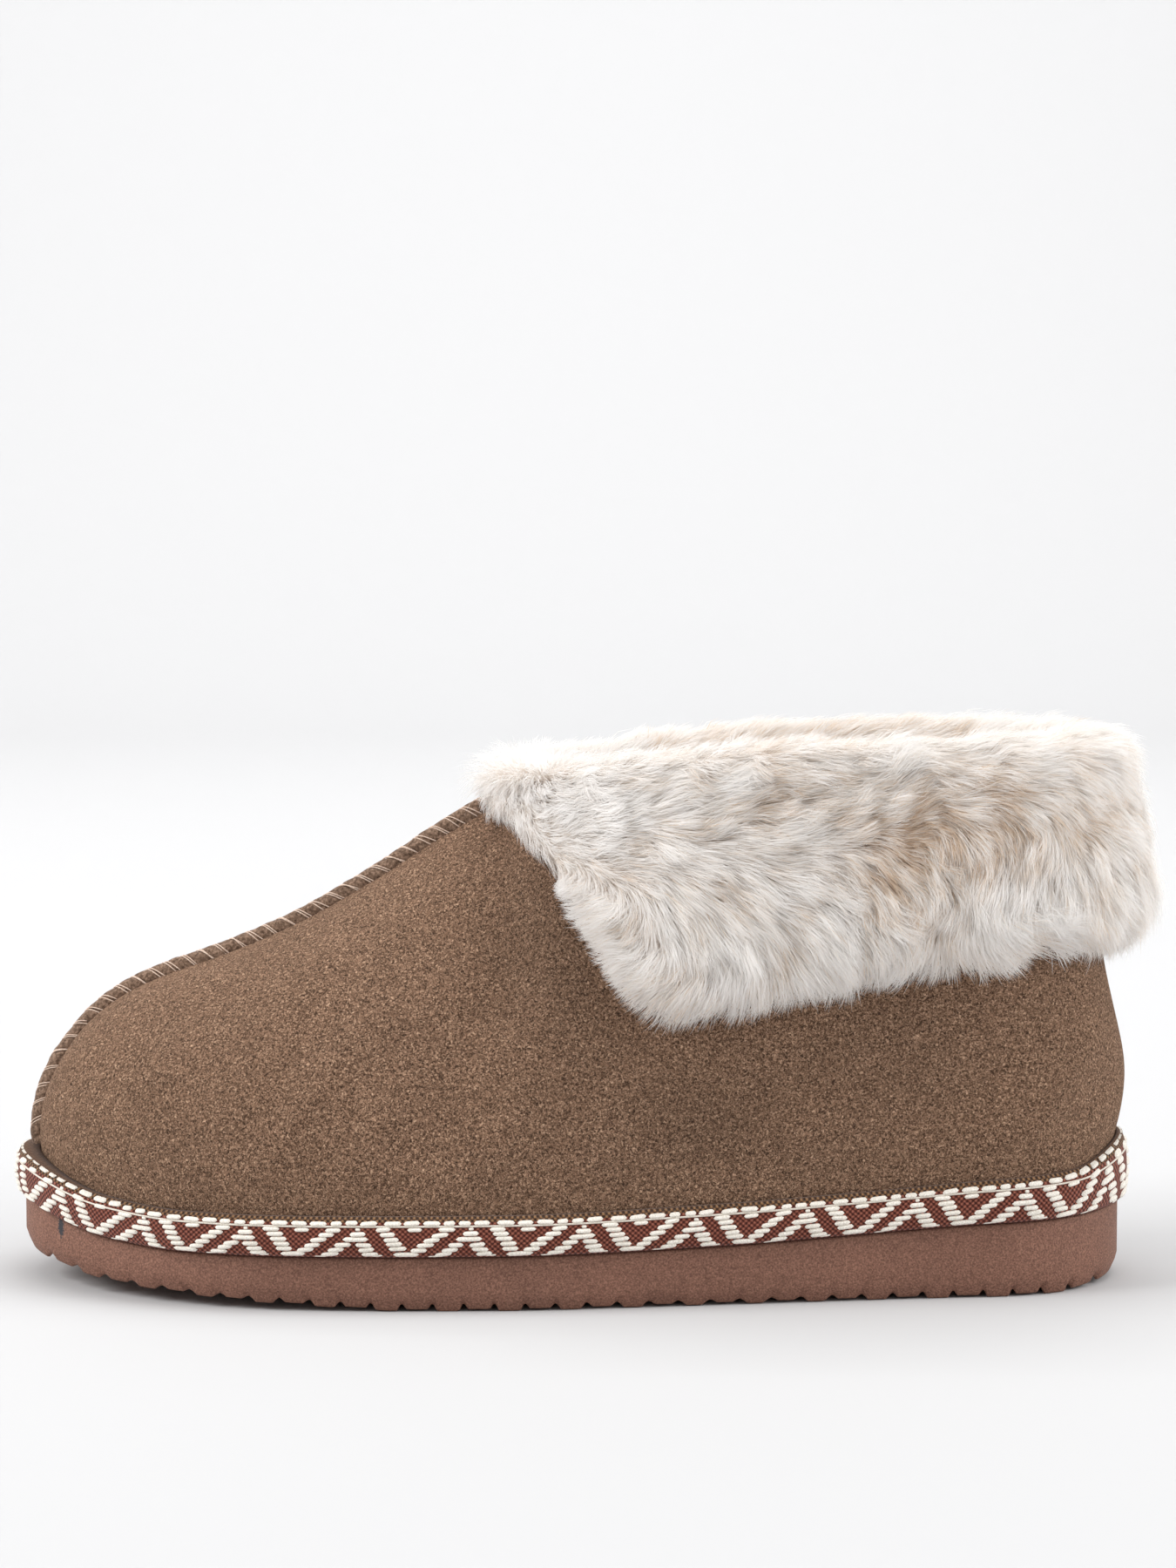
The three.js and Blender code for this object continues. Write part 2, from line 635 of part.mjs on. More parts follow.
// One section of the cuff: up the pile outside, over the rim, down inside, back within the wall.
// tuft is 1 in the middle of the hem's locks and -1 between them; the next rows are staggered.
function cuffSection(turn, tuft) {
  const share = openingShare(Math.min(turn, RING - turn));
  const depth = collar.pile(share) * FUR_DEPTH;
  const length = collar.drop(share) * CUFF_DROP;
  const hem = rimDrop(turn, length);
  const rim = betweenSections(turn, 1, 0);
  const away = betweenSections(turn, 1, 1).sub(rim).setZ(0).normalize();
  const levels = Array.from({ length: PILE_PROFILE.length }, (_, n) => n / (PILE_PROFILE.length - 1));
  const outside = PILE_PROFILE.map(({ pile, lock, fall }, n) => {
    const shaped = depth * pile + tuft * lock * LOCK_DEPTH * Math.min(1, length / LOCK_LENGTH);
    const point = betweenSections(turn, hem + (1 - hem) * levels[n], shaped);
    const hang = tuft * fall * LOCK_FALL * Math.min(1, length / LOCK_LENGTH);
    const along = betweenSections(turn, Math.max(0, hem - 0.1), 0).sub(betweenSections(turn, hem + 0.1, 0));
    return point.addScaledVector(along.normalize(), hang);
  });
  const over = CREST_PROFILE.map(({ pile, inside, up, lock }) => {
    const out = pile * depth - (inside > 0 ? WALL + inside * PILE_INSIDE : 0);
    const high = up * FUR_CREST + tuft * lock * LOCK_DEPTH;
    return rim.clone().addScaledVector(away, out).addScaledVector(UP, high);
  });
  const within = INSIDE_PROFILE.map(({ down, thick }) =>
    betweenSections(turn, rimDrop(turn, down * INSIDE_DROP), -WALL - thick * PILE_INSIDE),
  );
  const turned = rimDrop(turn, INSIDE_DROP);
  const wall = Array.from({ length: WALL_LEVELS + 1 }, (_, n) => n / WALL_LEVELS).map((level) =>
    betweenSections(turn, turned + (hem - turned) * level, -WALL / 2),
  );
  return [...outside, ...over, ...within, ...wall];
}

// Sections half a lock apart, from the throat round the heel and back to the throat.
function cuffTurns() {
  const steps = 40 * (RING - 2 * THROAT_STATION);
  const turnAt = (n) => THROAT_STATION + (n / steps) * (RING - 2 * THROAT_STATION);
  const way = [0];
  let before = betweenSections(turnAt(0), 0.75, FUR_DEPTH);
  for (let n = 1; n <= steps; n += 1) {
    const point = betweenSections(turnAt(n), 0.75, FUR_DEPTH);
    way.push(way[n - 1] + point.distanceTo(before));
    before = point;
  }
  const count = 2 * Math.round(way[steps] / LOCK_WIDTH);
  return Array.from({ length: count + 1 }, (_, section) => {
    const wanted = (section / count) * way[steps];
    return turnAt(Math.max(0, way.findIndex((walked) => walked >= wanted - 1e-6)));
  });
}

function cuffGeometry() {
  const sections = cuffTurns().map((turn, n) => cuffSection(turn, n % 2 === 0 ? -1 : 1));
  const faces = [];
  sections.forEach((here, n) => {
    const next = sections[(n + 1) % sections.length];
    here.forEach((point, m) => {
      const after = (m + 1) % here.length;
      quad(faces, point, next[m], next[after], here[after]);
    });
  });
  const whole = toSolid(closedGeometry(faces));
  return toGeometry(whole.subtract(seatOfTrims()).subtract(seamStrand(GAP)));
}

// Materials
function finish(color, roughness) {
  return new THREE.MeshStandardMaterial({ color, roughness, metalness: 0 });
}
const foam = finish(0x7f5d4f, 0.8);
const sock = finish(0xe2dad2, 0.95);
const suede = finish(0x80654f, 0.95);
const rolled = finish(0x6f5a4a, 0.9);
const tape = finish(0x8f6a5c, 0.85);
const fur = finish(0xdcd0c6, 1);

// The shoe
const shoe = new THREE.Group();
function piece(name, geometry, material) {
  const mesh = new THREE.Mesh(geometry, material);
  mesh.name = name;
  shoe.add(mesh);
}
piece("outsole", outsoleGeometry(), foam);
piece("insole", insoleGeometry(), sock);
piece("upper", wallGeometry(0, WALL, 0), suede);
piece("ridge_seam", seamGeometry(), rolled);
piece("braid", braidGeometry(), tape);
piece("cuff", cuffGeometry(), fur);

// The origin is the middle of the footprint's box, on the ground.
const extent = new THREE.Box3().setFromObject(shoe);
const centre = extent.getCenter(new THREE.Vector3());
shoe.position.set(-centre.x, -centre.y, -extent.min.z);

export default shoe;
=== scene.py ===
import math

import bpy
import numpy as np
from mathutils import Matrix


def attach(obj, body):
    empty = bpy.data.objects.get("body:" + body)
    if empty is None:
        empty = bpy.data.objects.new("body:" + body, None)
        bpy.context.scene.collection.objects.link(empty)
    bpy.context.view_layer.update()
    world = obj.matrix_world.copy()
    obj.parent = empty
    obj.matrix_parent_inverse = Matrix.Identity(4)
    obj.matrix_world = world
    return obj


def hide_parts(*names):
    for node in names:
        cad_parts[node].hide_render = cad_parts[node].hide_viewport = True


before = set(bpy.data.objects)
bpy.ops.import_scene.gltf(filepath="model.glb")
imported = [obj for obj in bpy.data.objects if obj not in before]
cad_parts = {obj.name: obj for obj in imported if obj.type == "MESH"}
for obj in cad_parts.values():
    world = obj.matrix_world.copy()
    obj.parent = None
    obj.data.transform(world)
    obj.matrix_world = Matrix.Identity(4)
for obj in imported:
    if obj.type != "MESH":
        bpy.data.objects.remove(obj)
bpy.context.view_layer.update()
rng = np.random.default_rng(20)

# The slipper's own curves, in millimetres. x is measured from the toe tip of the sole, the toe
# points to -X and the outer side lies at -Y, as in the CAD part.
LENGTH = 258
BALL_WIDTH = 95
HEEL_WIDTH = 64
TOE_ROUND = 60
HEEL_ROUND = 34
SOLE_THICKNESS = 12.6
HEEL_LIFT = 5.9
TOE_SPRING = 6.6
HEEL_BREAK = 1.5
SOLE_TUCK = 1.2
SOLE_TUCK_HEIGHT = 4
TOOTH_PITCH = 7
TOOTH_DEPTH = 1.75
NOTCH = 1.35
SHALLOW_TOOTH = 0.9
INSOLE_THICKNESS = 6
WALL = 3
BASE_INSET = 4
BULGE = 6
TOE_RISE = 37
TOE_SETBACK = 8.6
INSTEP = 99.2
THROAT_AT = 112
RIM_RISE = 10.2
COLLAR_WIDTH = 66
COLLAR_ROUND = 34
HEEL_LEAN = 8
BRAID_WIDTH = 9.8
BRAID_STAND = 2.2
SEAM_WIDTH = 3.8
SEAM_HEIGHT = 3
CUFF_DROP = 55
FUR_DEPTH = 13
FUR_CREST = 7.5
PILE_INSIDE = 8
INSIDE_DROP = 20
GAP = 0.3
STATIONS = 36
THROAT_STATION = 17
RING = 72
CREST_PACE = 1.5
SHIFT = np.array([-133.028, 0.841, 0.0])


def curve(xs, ys):
    """A smooth curve through a table's rows that never overshoots them."""
    xs, ys = np.array(xs, float), np.array(ys, float)
    step = np.diff(ys) / np.diff(xs)
    slope = np.concatenate([step[:1], np.zeros(len(xs) - 2), step[-1:]])
    before, after = step[:-1], step[1:]
    same = before * after > 0
    slope[1:-1][same] = 2 * before[same] * after[same] / (before[same] + after[same])

    def at(x):
        x = np.clip(x, xs[0], xs[-1])
        i = np.clip(np.searchsorted(xs, x, side="right") - 1, 0, len(xs) - 2)
        span = xs[i + 1] - xs[i]
        u = (x - xs[i]) / span
        v = 1 - u
        ends = ys[i] * (1 + 2 * u) * v * v + ys[i + 1] * u * u * (3 - 2 * u)
        return ends + slope[i] * span * u * v * v - slope[i + 1] * span * u * u * v

    return at


PLAN_AT = [0, 0.09, 0.16, 0.26, 0.32, 0.37, 0.48, 0.58, 0.7, 0.81, 0.91, 1]
plan_middle = curve(PLAN_AT, [0.042, 0.034, 0.018, 0, -0.005, -0.013, -0.034, -0.037, -0.026, -0.008, 0, 0])
plan_ball = curve(PLAN_AT, [0.874, 0.907, 0.945, 0.992, 1, 0.985, 0.62, 0.35, 0.15, 0.03, 0, 0])
plan_heel = curve(PLAN_AT, [0, 0, 0, 0, 0, 0, 0.44, 0.715, 0.9, 1, 1, 0.985])
SIDE_AT = [0, 0.09, 0.16, 0.26, 0.37, 0.48, 0.64, 0.76, 0.87, 0.95, 1]
side_tread = curve(SIDE_AT, [1, 0.485, 0.364, 0.18, 0, 0, 0, 0, 0, 0, 0])
side_back = curve(SIDE_AT, [0, 0, 0, 0, 0, 0, 0, 0, 0, 0, 1])
side_spring = curve(SIDE_AT, [1.03, 0.18, 0, 0, 0, 0, 0, 0, 0, 0, 0])
side_lift = curve(SIDE_AT, [0, 0, 0, 0, 0, 0.03, 0.22, 0.51, 0.78, 0.88, 1])
side_tape = curve(SIDE_AT, [1.06, 0.97, 0.96, 0.96, 0.97, 0.97, 1, 1, 1.04, 1.12, 1.58])
CREST_AT = [0, 0.035, 0.083, 0.157, 0.234, 0.394, 0.553, 0.716, 0.874, 1]
crest_rise = curve(CREST_AT, [0, 0.08, 0.174, 0.265, 0.327, 0.426, 0.543, 0.699, 0.873, 1])
COLLAR_AT = [0, 0.05, 0.1, 0.15, 0.2, 0.3, 0.42, 0.6, 0.8, 1]
collar_half = curve(COLLAR_AT, [0, 0.33, 0.54, 0.67, 0.78, 0.91, 0.98, 1, 0.96, 0.9])
collar_rise = curve(COLLAR_AT, [0, 0.14, 0.32, 0.43, 0.53, 0.7, 0.86, 0.97, 1, 0.98])
collar_drop = curve(COLLAR_AT, [0.12, 0.27, 0.46, 0.75, 0.95, 1, 0.97, 0.9, 0.86, 0.78])
collar_pile = curve(COLLAR_AT, [0.5, 0.58, 0.68, 0.78, 0.88, 1, 1, 1, 1.03, 1.14])
SECTION_AT = [0, 0.1, 0.2, 0.35, 0.47, 0.6, 0.8, 1]
section_inset = curve(SECTION_AT, [1, 0.68, 0.32, 0.18, 0.16, 0.16, 0.12, 0.21])
section_out = curve(SECTION_AT, [0.12, 0.3, 0.5, 0.62, 0.55, 0.6, 0.72, 1.27])
section_up = curve(SECTION_AT, [0.38, 0.5, 0.52, 0.5, 0.45, 0.34, 0.3, 0.3])
section_side = curve(SECTION_AT, [0.74, 0.6, 0.53, 0.5, 0.42, 0.32, 0.28, 0.12])
section_drop = curve(SECTION_AT, [0.33, 0.1, 0.04, 0.04, 0.1, 0.28, 0.33, 0.79])


def rounded(distance, stretch):
    opening = 1 - np.clip(distance / stretch, 0, 1)
    return np.sqrt(1 - opening * opening)


def along_of(turn):
    """Stations from the toe, on either side."""
    turn = np.mod(turn, RING)
    return np.where(turn <= STATIONS, turn, RING - turn)


def hand_of(turn):
    return np.where(np.mod(turn, RING) <= STATIONS, -1.0, 1.0)


def unit(v):
    return v / np.maximum(np.linalg.norm(v, axis=-1, keepdims=True), 1e-9)


def lerp(a, b, t):
    return a + (b - a) * t


def bare_outline(turn):
    along = along_of(turn)
    x = LENGTH / 2 * (1 - np.cos(np.pi * along / STATIONS))
    half = plan_ball(x / LENGTH) * BALL_WIDTH + plan_heel(x / LENGTH) * HEEL_WIDTH
    half = 0.5 * half * rounded(x, TOE_ROUND) * rounded(LENGTH - x, HEEL_ROUND)
    y = plan_middle(x / LENGTH) * BALL_WIDTH + hand_of(turn) * half
    return np.stack([x, y, np.zeros_like(x)], -1)


def outline_normal(turn):
    way = bare_outline(turn + 0.05) - bare_outline(turn - 0.05)
    return unit(np.stack([way[..., 1], -way[..., 0], np.zeros_like(way[..., 0])], -1))


def outline(turn, inset):
    return bare_outline(turn) - outline_normal(turn) * np.asarray(inset)[..., None]


def edge_height(x):
    return SOLE_THICKNESS + side_spring(x / LENGTH) * TOE_SPRING + side_lift(x / LENGTH) * HEEL_LIFT


def tread_height(x):
    return side_tread(x / LENGTH) * TOE_SPRING + side_back(x / LENGTH) * HEEL_BREAK


def tape_top(x):
    return edge_height(x) + side_tape(x / LENGTH) * BRAID_WIDTH


def base_inset(turn):
    return section_inset(along_of(turn) / STATIONS) * BASE_INSET


def opening_share(along):
    place = 0.5 * (1 - np.cos(np.pi * along / STATIONS))
    start = 0.5 * (1 - math.cos(math.pi * THROAT_STATION / STATIONS))
    return (place - start) / (1 - start)


def top_point(turn):
    along, hand = along_of(turn), hand_of(turn)
    share = np.clip(along / THROAT_STATION, 0, 1) ** CREST_PACE
    x = TOE_SETBACK + share * (THROAT_AT - TOE_SETBACK)
    rise = TOE_RISE + crest_rise(share) * (INSTEP - TOE_RISE)
    middle = np.maximum(0, plan_middle(x / LENGTH)) * BALL_WIDTH
    crest = np.stack([x, middle, SOLE_THICKNESS + rise], -1)
    share = np.clip(opening_share(along), 0, 1)
    stretch = LENGTH - HEEL_LEAN - THROAT_AT
    half = 0.5 * collar_half(share) * COLLAR_WIDTH * rounded((1 - share) * stretch, COLLAR_ROUND)
    height = SOLE_THICKNESS + INSTEP + collar_rise(share) * RIM_RISE
    rim = np.stack([THROAT_AT + share * stretch, hand * half, height], -1)
    return np.where((along <= THROAT_STATION)[..., None], crest, rim)


def section_points(turn, share):
    """Points of the upper's outer face: share 0 at the braid's upper edge, 1 at the crest or rim."""
    turn, share = np.broadcast_arrays(turn, share)
    s = along_of(turn) / STATIONS
    foot = outline(turn, base_inset(turn))
    foot[..., 2] = tape_top(bare_outline(turn)[..., 0])
    top = top_point(turn)
    height = top[..., 2] - foot[..., 2]
    swell = foot + outline_normal(turn) * (section_out(s) * BULGE)[..., None]
    swell[..., 2] += section_up(s) * height
    shoulder = top + (foot - top) * section_side(s)[..., None]
    shoulder[..., 2] = top[..., 2] - section_drop(s) * height
    t = share[..., None]
    v = 1 - t
    return foot * v**3 + 3 * swell * v * v * t + 3 * shoulder * v * t * t + top * t**3


# A fine grid of the upper's face, its normals, and places between its points.
FINE = 8
LEVELS = 64
grid_turn = np.arange(RING * FINE) / FINE
grid_share = np.linspace(0, 1, LEVELS + 1)
skin = section_points(grid_turn[:, None], grid_share[None, :])


def grid_normals(points):
    across = np.roll(points, -1, 0) - np.roll(points, 1, 0)
    up = np.gradient(points, axis=1)
    return unit(np.cross(across, up))


skin_normal = grid_normals(skin)
zipped = np.arange(1, THROAT_STATION * FINE + 1)
crest_normal = unit(skin_normal[zipped, -1] + skin_normal[RING * FINE - zipped, -1])
skin_normal[zipped, -1] = crest_normal
skin_normal[RING * FINE - zipped, -1] = crest_normal


def sample(table, turn, share):
    """A table over the fine grid, read between its points."""
    u = np.mod(turn, RING) * FINE
    v = np.clip(share, 0, 1) * LEVELS
    i, j = np.floor(u).astype(int), np.minimum(np.floor(v).astype(int), LEVELS - 1)
    fu, fv = (u - i)[..., None], (v - j)[..., None]
    i = np.mod(i, RING * FINE)
    n = np.mod(i + 1, RING * FINE)
    return (table[i, j] * (1 - fu) + table[n, j] * fu) * (1 - fv) + (
        table[i, j + 1] * (1 - fu) + table[n, j + 1] * fu
    ) * fv


def on_upper(turn, share, out):
    turn, share, out = np.broadcast_arrays(turn, share, out)
    normal = unit(sample(skin_normal, turn, share))
    return sample(skin, turn, share) + normal * out[..., None]


def share_below_rim(turn, drop):
    """The height share at which a section lies the given drop below its rim."""
    turn, drop = np.broadcast_arrays(turn, drop)
    rim = sample(skin, turn, np.ones(turn.shape))[..., 2]
    low, high = np.zeros(turn.shape), np.ones(turn.shape)
    for _ in range(20):
        middle = (low + high) / 2
        above = sample(skin, turn, middle)[..., 2] > rim - drop
        high = np.where(above, middle, high)
        low = np.where(above, low, middle)
    return low


def waves(points, wavelength, seed, count=10):
    """Smooth unrest in -1..1 with bumps of about the given size."""
    source = np.random.default_rng(seed)
    directions = unit(source.normal(size=(count, points.shape[-1])))
    total = np.zeros(points.shape[:-1])
    for direction in directions:
        pace = 2 * math.pi / wavelength * source.uniform(0.6, 1.5)
        total += np.sin(points @ direction * pace + source.uniform(0, 2 * math.pi))
    return total / math.sqrt(count)


# Meshes
def add_mesh(name, points, faces, material, uv=None, flat=False):
    mesh = bpy.data.meshes.new(name)
    points = (np.asarray(points, float).reshape(-1, 3) + SHIFT) / 1000
    mesh.vertices.add(len(points))
    mesh.vertices.foreach_set("co", points.astype(np.float32).ravel())
    blocks = [np.asarray(block, np.int32) for block in faces]
    corners = np.concatenate([block.ravel() for block in blocks])
    sizes = np.concatenate([np.full(len(block), block.shape[1]) for block in blocks])
    mesh.loops.add(len(corners))
    mesh.loops.foreach_set("vertex_index", corners)
    mesh.polygons.add(len(sizes))
    mesh.polygons.foreach_set("loop_start", (np.cumsum(sizes) - sizes).astype(np.int32))
    mesh.update(calc_edges=True)
    if uv is not None:
        layer = mesh.uv_layers.new(name="weave")
        layer.uv.foreach_set("vector", np.asarray(uv, np.float32)[corners].ravel())
    mesh.polygons.foreach_set("use_smooth", np.full(len(sizes), not flat))
    mesh.materials.append(material)
    piece = bpy.data.objects.new(name, mesh)
    bpy.context.collection.objects.link(piece)
    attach(piece, "root")
    return piece


def lattice(rows, columns, wrap_rows=False, wrap_columns=False, start=0):
    """Quads over a grid of rows x columns points."""
    r = np.arange(rows if wrap_rows else rows - 1)
    c = np.arange(columns if wrap_columns else columns - 1)
    r, c = np.meshgrid(r, c, indexing="ij")
    rn, cn = (r + 1) % rows, (c + 1) % columns
    quads = np.stack([r * columns + c, rn * columns + c, rn * columns + cn, r * columns + cn], -1)
    return quads.reshape(-1, 4) + start


# Materials
def linear(red, green, blue):
    def one(value):
        value /= 255
        return value / 12.92 if value <= 0.04045 else ((value + 0.055) / 1.055) ** 2.4

    return (one(red), one(green), one(blue), 1)


class Finish:
    """A material under construction: its nodes, joined by short calls."""

    def __init__(self, name, **settings):
        self.material = bpy.data.materials.new(name)
        self.material.use_nodes = True
        self.tree = self.material.node_tree
        self.shader = self.tree.nodes["Principled BSDF"]
        self.place = self.add("ShaderNodeTexCoord")
        for socket, value in settings.items():
            self.shader.inputs[socket.replace("_", " ")].default_value = value

    def add(self, kind, **values):
        node = self.tree.nodes.new(kind)
        for name, value in values.items():
            if name in node.inputs:
                self.set(node.inputs[name], value)
            else:
                setattr(node, name, value)
        return node

    def set(self, socket, value):
        if isinstance(value, bpy.types.NodeSocket):
            self.tree.links.new(value, socket)
        else:
            socket.default_value = value

    def stretched(self, scale):
        node = self.add("ShaderNodeMapping", Vector=self.place.outputs["Object"])
        node.inputs["Scale"].default_value = scale
        return node.outputs[0]

    def noise(self, scale, detail=2, roughness=0.5, vector=None, distortion=0):
        node = self.add("ShaderNodeTexNoise", Scale=scale, Detail=detail, Roughness=roughness)
        node.inputs["Distortion"].default_value = distortion
        self.set(node.inputs["Vector"], vector or self.place.outputs["Object"])
        return node.outputs["Fac"]

    def away(self, place, height, wide, tall, side=None):
        """Distance from a spot on the side of the shoe, in shares of its reach."""
        node = self.add("ShaderNodeMapping", Vector=self.place.outputs["Object"])
        spot = (place + SHIFT[0], side or 0, height)
        scale = (1000 / wide, 1000 / 12 if side else 0, 1000 / tall)
        node.inputs["Location"].default_value = [-s * k / 1000 for s, k in zip(spot, scale)]
        node.inputs["Scale"].default_value = scale
        return self.add("ShaderNodeVectorMath", operation="LENGTH", Vector=node.outputs[0]).outputs["Value"]

    def ramp(self, value, stops):
        node = self.add("ShaderNodeValToRGB", Fac=value)
        elements = node.color_ramp.elements
        while len(elements) < len(stops):
            elements.new(0.5)
        for element, (at, color) in zip(elements, stops):
            element.position = at
            element.color = color if len(color) == 4 else (*color, 1)
        return node.outputs["Color"]

    def math(self, kind, a, b=0.0, clamp=False):
        node = self.add("ShaderNodeMath", operation=kind, use_clamp=clamp)
        self.set(node.inputs[0], a)
        self.set(node.inputs[1], b)
        return node.outputs[0]

    def mix(self, share, a, b, kind="MIX"):
        node = self.add("ShaderNodeMix", data_type="RGBA", blend_type=kind)
        self.set(node.inputs[0], share)
        self.set(node.inputs[6], a)
        self.set(node.inputs[7], b)
        return node.outputs[2]

    def bump(self, height, distance, strength=1.0, normal=None):
        node = self.add("ShaderNodeBump", Height=height, Distance=distance, Strength=strength)
        if normal:
            self.set(node.inputs["Normal"], normal)
        return node.outputs[0]

    def wire(self, **sockets):
        for name, value in sockets.items():
            self.set(self.shader.inputs[name.replace("_", " ")], value)
        return self.material


# Painted shade on the suede, in soft spots where the fur and the fall of light leave it darker: place, height, reach
# along and up, and tone.
PAINTED_SHADE = [(128, 84, 24, 36, 0.7), (158, 44, 46, 22, 0.78), (206, 56, 24, 16, 0.88), (96, 60, 26, 26, 0.94)]


def suede_finish():
    make = Finish("suede", Roughness=0.95, Sheen_Weight=0.25, Sheen_Roughness=0.5)
    make.shader.inputs["Specular IOR Level"].default_value = 0.12
    make.shader.inputs["Sheen Tint"].default_value = linear(226, 196, 170)
    curls = make.noise(2000, 2, 0.6, distortion=1.1)
    fine = make.noise(2600, 2, 0.6, distortion=0.8)
    grain = make.math("ADD", make.math("MULTIPLY", curls, 0.75), make.math("MULTIPLY", fine, 0.25))
    stops = [(0.37, (60, 41, 30)), (0.45, (107, 80, 62)), (0.5, (142, 110, 88)), (0.56, (168, 132, 107)), (0.65, (222, 184, 154))]
    grain = make.ramp(grain, [(at, linear(*tone)) for at, tone in stops])
    cloud = make.ramp(make.noise(38, 3, 0.5), [(0.3, (0.93, 0.925, 0.92)), (0.7, (1.05, 1.05, 1.05))])
    color = make.mix(1.0, grain, cloud, "MULTIPLY")
    # Painted shade: each spot darkens the suede's colour most at its middle.
    for place, height, wide, tall, dark in PAINTED_SHADE:
        away = make.away(place, height, wide, tall)
        shade = make.ramp(away, [(0.0, (dark, dark, dark)), (1.0, (1, 1, 1))])
        color = make.mix(1.0, color, shade, "MULTIPLY")
    return make.wire(Base_Color=color, Normal=make.bump(curls, 0.0012, 0.9, normal=make.bump(fine, 0.0005, 0.8)))


def foam_finish():
    make = Finish("foam_sole", Roughness=0.62)
    make.shader.inputs["Specular IOR Level"].default_value = 0.3
    speckle = make.noise(2300, 3, 0.7)
    color = make.ramp(speckle, [(0.34, linear(98, 66, 54)), (0.5, linear(130, 92, 76)), (0.66, linear(160, 117, 98))])
    cloud = make.ramp(make.noise(45, 3, 0.5), [(0.3, (0.9, 0.9, 0.9)), (0.7, (1.08, 1.08, 1.08))])
    color = make.mix(1.0, color, cloud, "MULTIPLY")
    scuff = make.away(11.0, 14.6, 0.85, 3.0, side=-20)
    scuff = make.math("ADD", scuff, make.math("MULTIPLY", make.math("SUBTRACT", speckle, 0.5), 1.5))
    color = make.mix(make.ramp(scuff, [(0.7, (1, 1, 1)), (1.1, (0, 0, 0))]), color, linear(58, 56, 60))
    return make.wire(Base_Color=color, Normal=make.bump(speckle, 0.0003, 0.7))


def yarn_finish(name, dark, light, scale=2600):
    make = Finish(name, Roughness=0.85, Sheen_Weight=0.3)
    make.shader.inputs["Specular IOR Level"].default_value = 0.2
    strands = make.noise(scale, 2, 0.6)
    color = make.ramp(strands, [(0.3, dark), (0.7, light)])
    return make.wire(Base_Color=color, Normal=make.bump(strands, 0.0002, 0.7))


def pile_finish(name, dark, light):
    make = Finish(name, Roughness=1.0, Sheen_Weight=0.4)
    tufts = make.noise(230, 3, 0.7, distortion=0.8)
    color = make.ramp(tufts, [(0.36, dark), (0.6, light)])
    return make.wire(Base_Color=color, Normal=make.bump(tufts, 0.004, 1.0))


def hair_finish(name, root, tan, pale, white):
    """uv: x runs from root to tip, y is the lock's own tone."""
    make = Finish(name, Roughness=0.8, Sheen_Weight=0.1)
    make.shader.inputs["Specular IOR Level"].default_value = 0.1
    parts = make.add("ShaderNodeSeparateXYZ", Vector=make.place.outputs["UV"])
    tone = make.ramp(parts.outputs["Y"], [(0.0, tan), (0.4, pale), (0.85, white)])
    depth = make.ramp(parts.outputs["X"], [(0.0, root), (0.5, (0.992, 0.987, 0.982, 1)), (0.85, (1, 1, 1, 1))])
    color = make.mix(1.0, tone, depth, "MULTIPLY")
    glow = make.add("ShaderNodeBsdfTranslucent", Color=color)
    both = make.add("ShaderNodeMixShader")
    both.inputs[0].default_value = 0.58
    make.wire(Base_Color=color)
    make.set(both.inputs[1], make.shader.outputs[0])
    make.set(both.inputs[2], glow.outputs[0])
    make.set(make.tree.nodes["Material Output"].inputs["Surface"], both.outputs[0])
    return make.material


def tape_finish():
    """uv: x is millimetres along the tape, y the share of its height."""
    make = Finish("tape_ground", Roughness=0.9, Sheen_Weight=0.15)
    make.shader.inputs["Specular IOR Level"].default_value = 0.15
    parts = make.add("ShaderNodeSeparateXYZ", Vector=make.place.outputs["UV"])
    warp = make.math("SINE", make.math("MULTIPLY", parts.outputs["X"], 2 * math.pi / 1.3))
    weft = make.math("SINE", make.math("MULTIPLY", parts.outputs["Y"], 2 * math.pi * 8))
    weave = make.math("MULTIPLY_ADD", make.math("MULTIPLY", warp, weft), 0.5)
    make.set(weave.node.inputs[2], 0.5)
    unrest = make.noise(2600, 2, 0.6)
    height = make.math("ADD", make.math("MULTIPLY", weave, 0.7), make.math("MULTIPLY", unrest, 0.6))
    ground = make.ramp(height, [(0.35, linear(62, 26, 20)), (0.65, linear(108, 56, 44)), (0.9, linear(160, 98, 80))])
    edge = make.ramp(height, [(0.35, linear(46, 32, 22)), (0.65, linear(88, 60, 42)), (0.9, linear(146, 110, 76))])
    upper = make.ramp(parts.outputs["Y"], [(0.86, (0, 0, 0)), (0.89, (1, 1, 1))])
    color = make.mix(upper, ground, edge)
    return make.wire(Base_Color=color, Normal=make.bump(height, 0.0005, 1.0))


# Upper: one suede wall, smooth outside, its rim closed under the cuff.
# Its soft troughs and ridges: place and height of either end, width and depth.
CREASES = [
    (52, 34, 74, 64, 7, -0.5), (70, 32, 88, 58, 8, -0.45), (60, 33, 80, 62, 6, 0.3), (98, 40, 112, 76, 9, -0.7),
    (112, 36, 124, 66, 7, 0.45), (126, 34, 134, 54, 6, -0.5), (160, 34, 184, 52, 8, -0.6), (186, 36, 206, 58, 8, 0.4),
    (214, 38, 232, 62, 7, -0.6), (236, 40, 250, 60, 5, 0.4), (244, 38, 254, 48, 5, -0.5), (28, 34, 40, 56, 9, 0.35),
]  # fmt: skip


def creases(points):
    total = np.zeros(points.shape[:-1])
    x, z = points[..., 0], points[..., 2]
    for x0, z0, x1, z1, width, depth in CREASES:
        long, tall = x1 - x0, z1 - z0
        share = np.clip(((x - x0) * long + (z - z0) * tall) / (long * long + tall * tall), 0, 1)
        away = (x - x0 - share * long) ** 2 + (z - z0 - share * tall) ** 2
        total += 1.6 * depth * np.exp(-away / (0.5 * width * width))
    return total


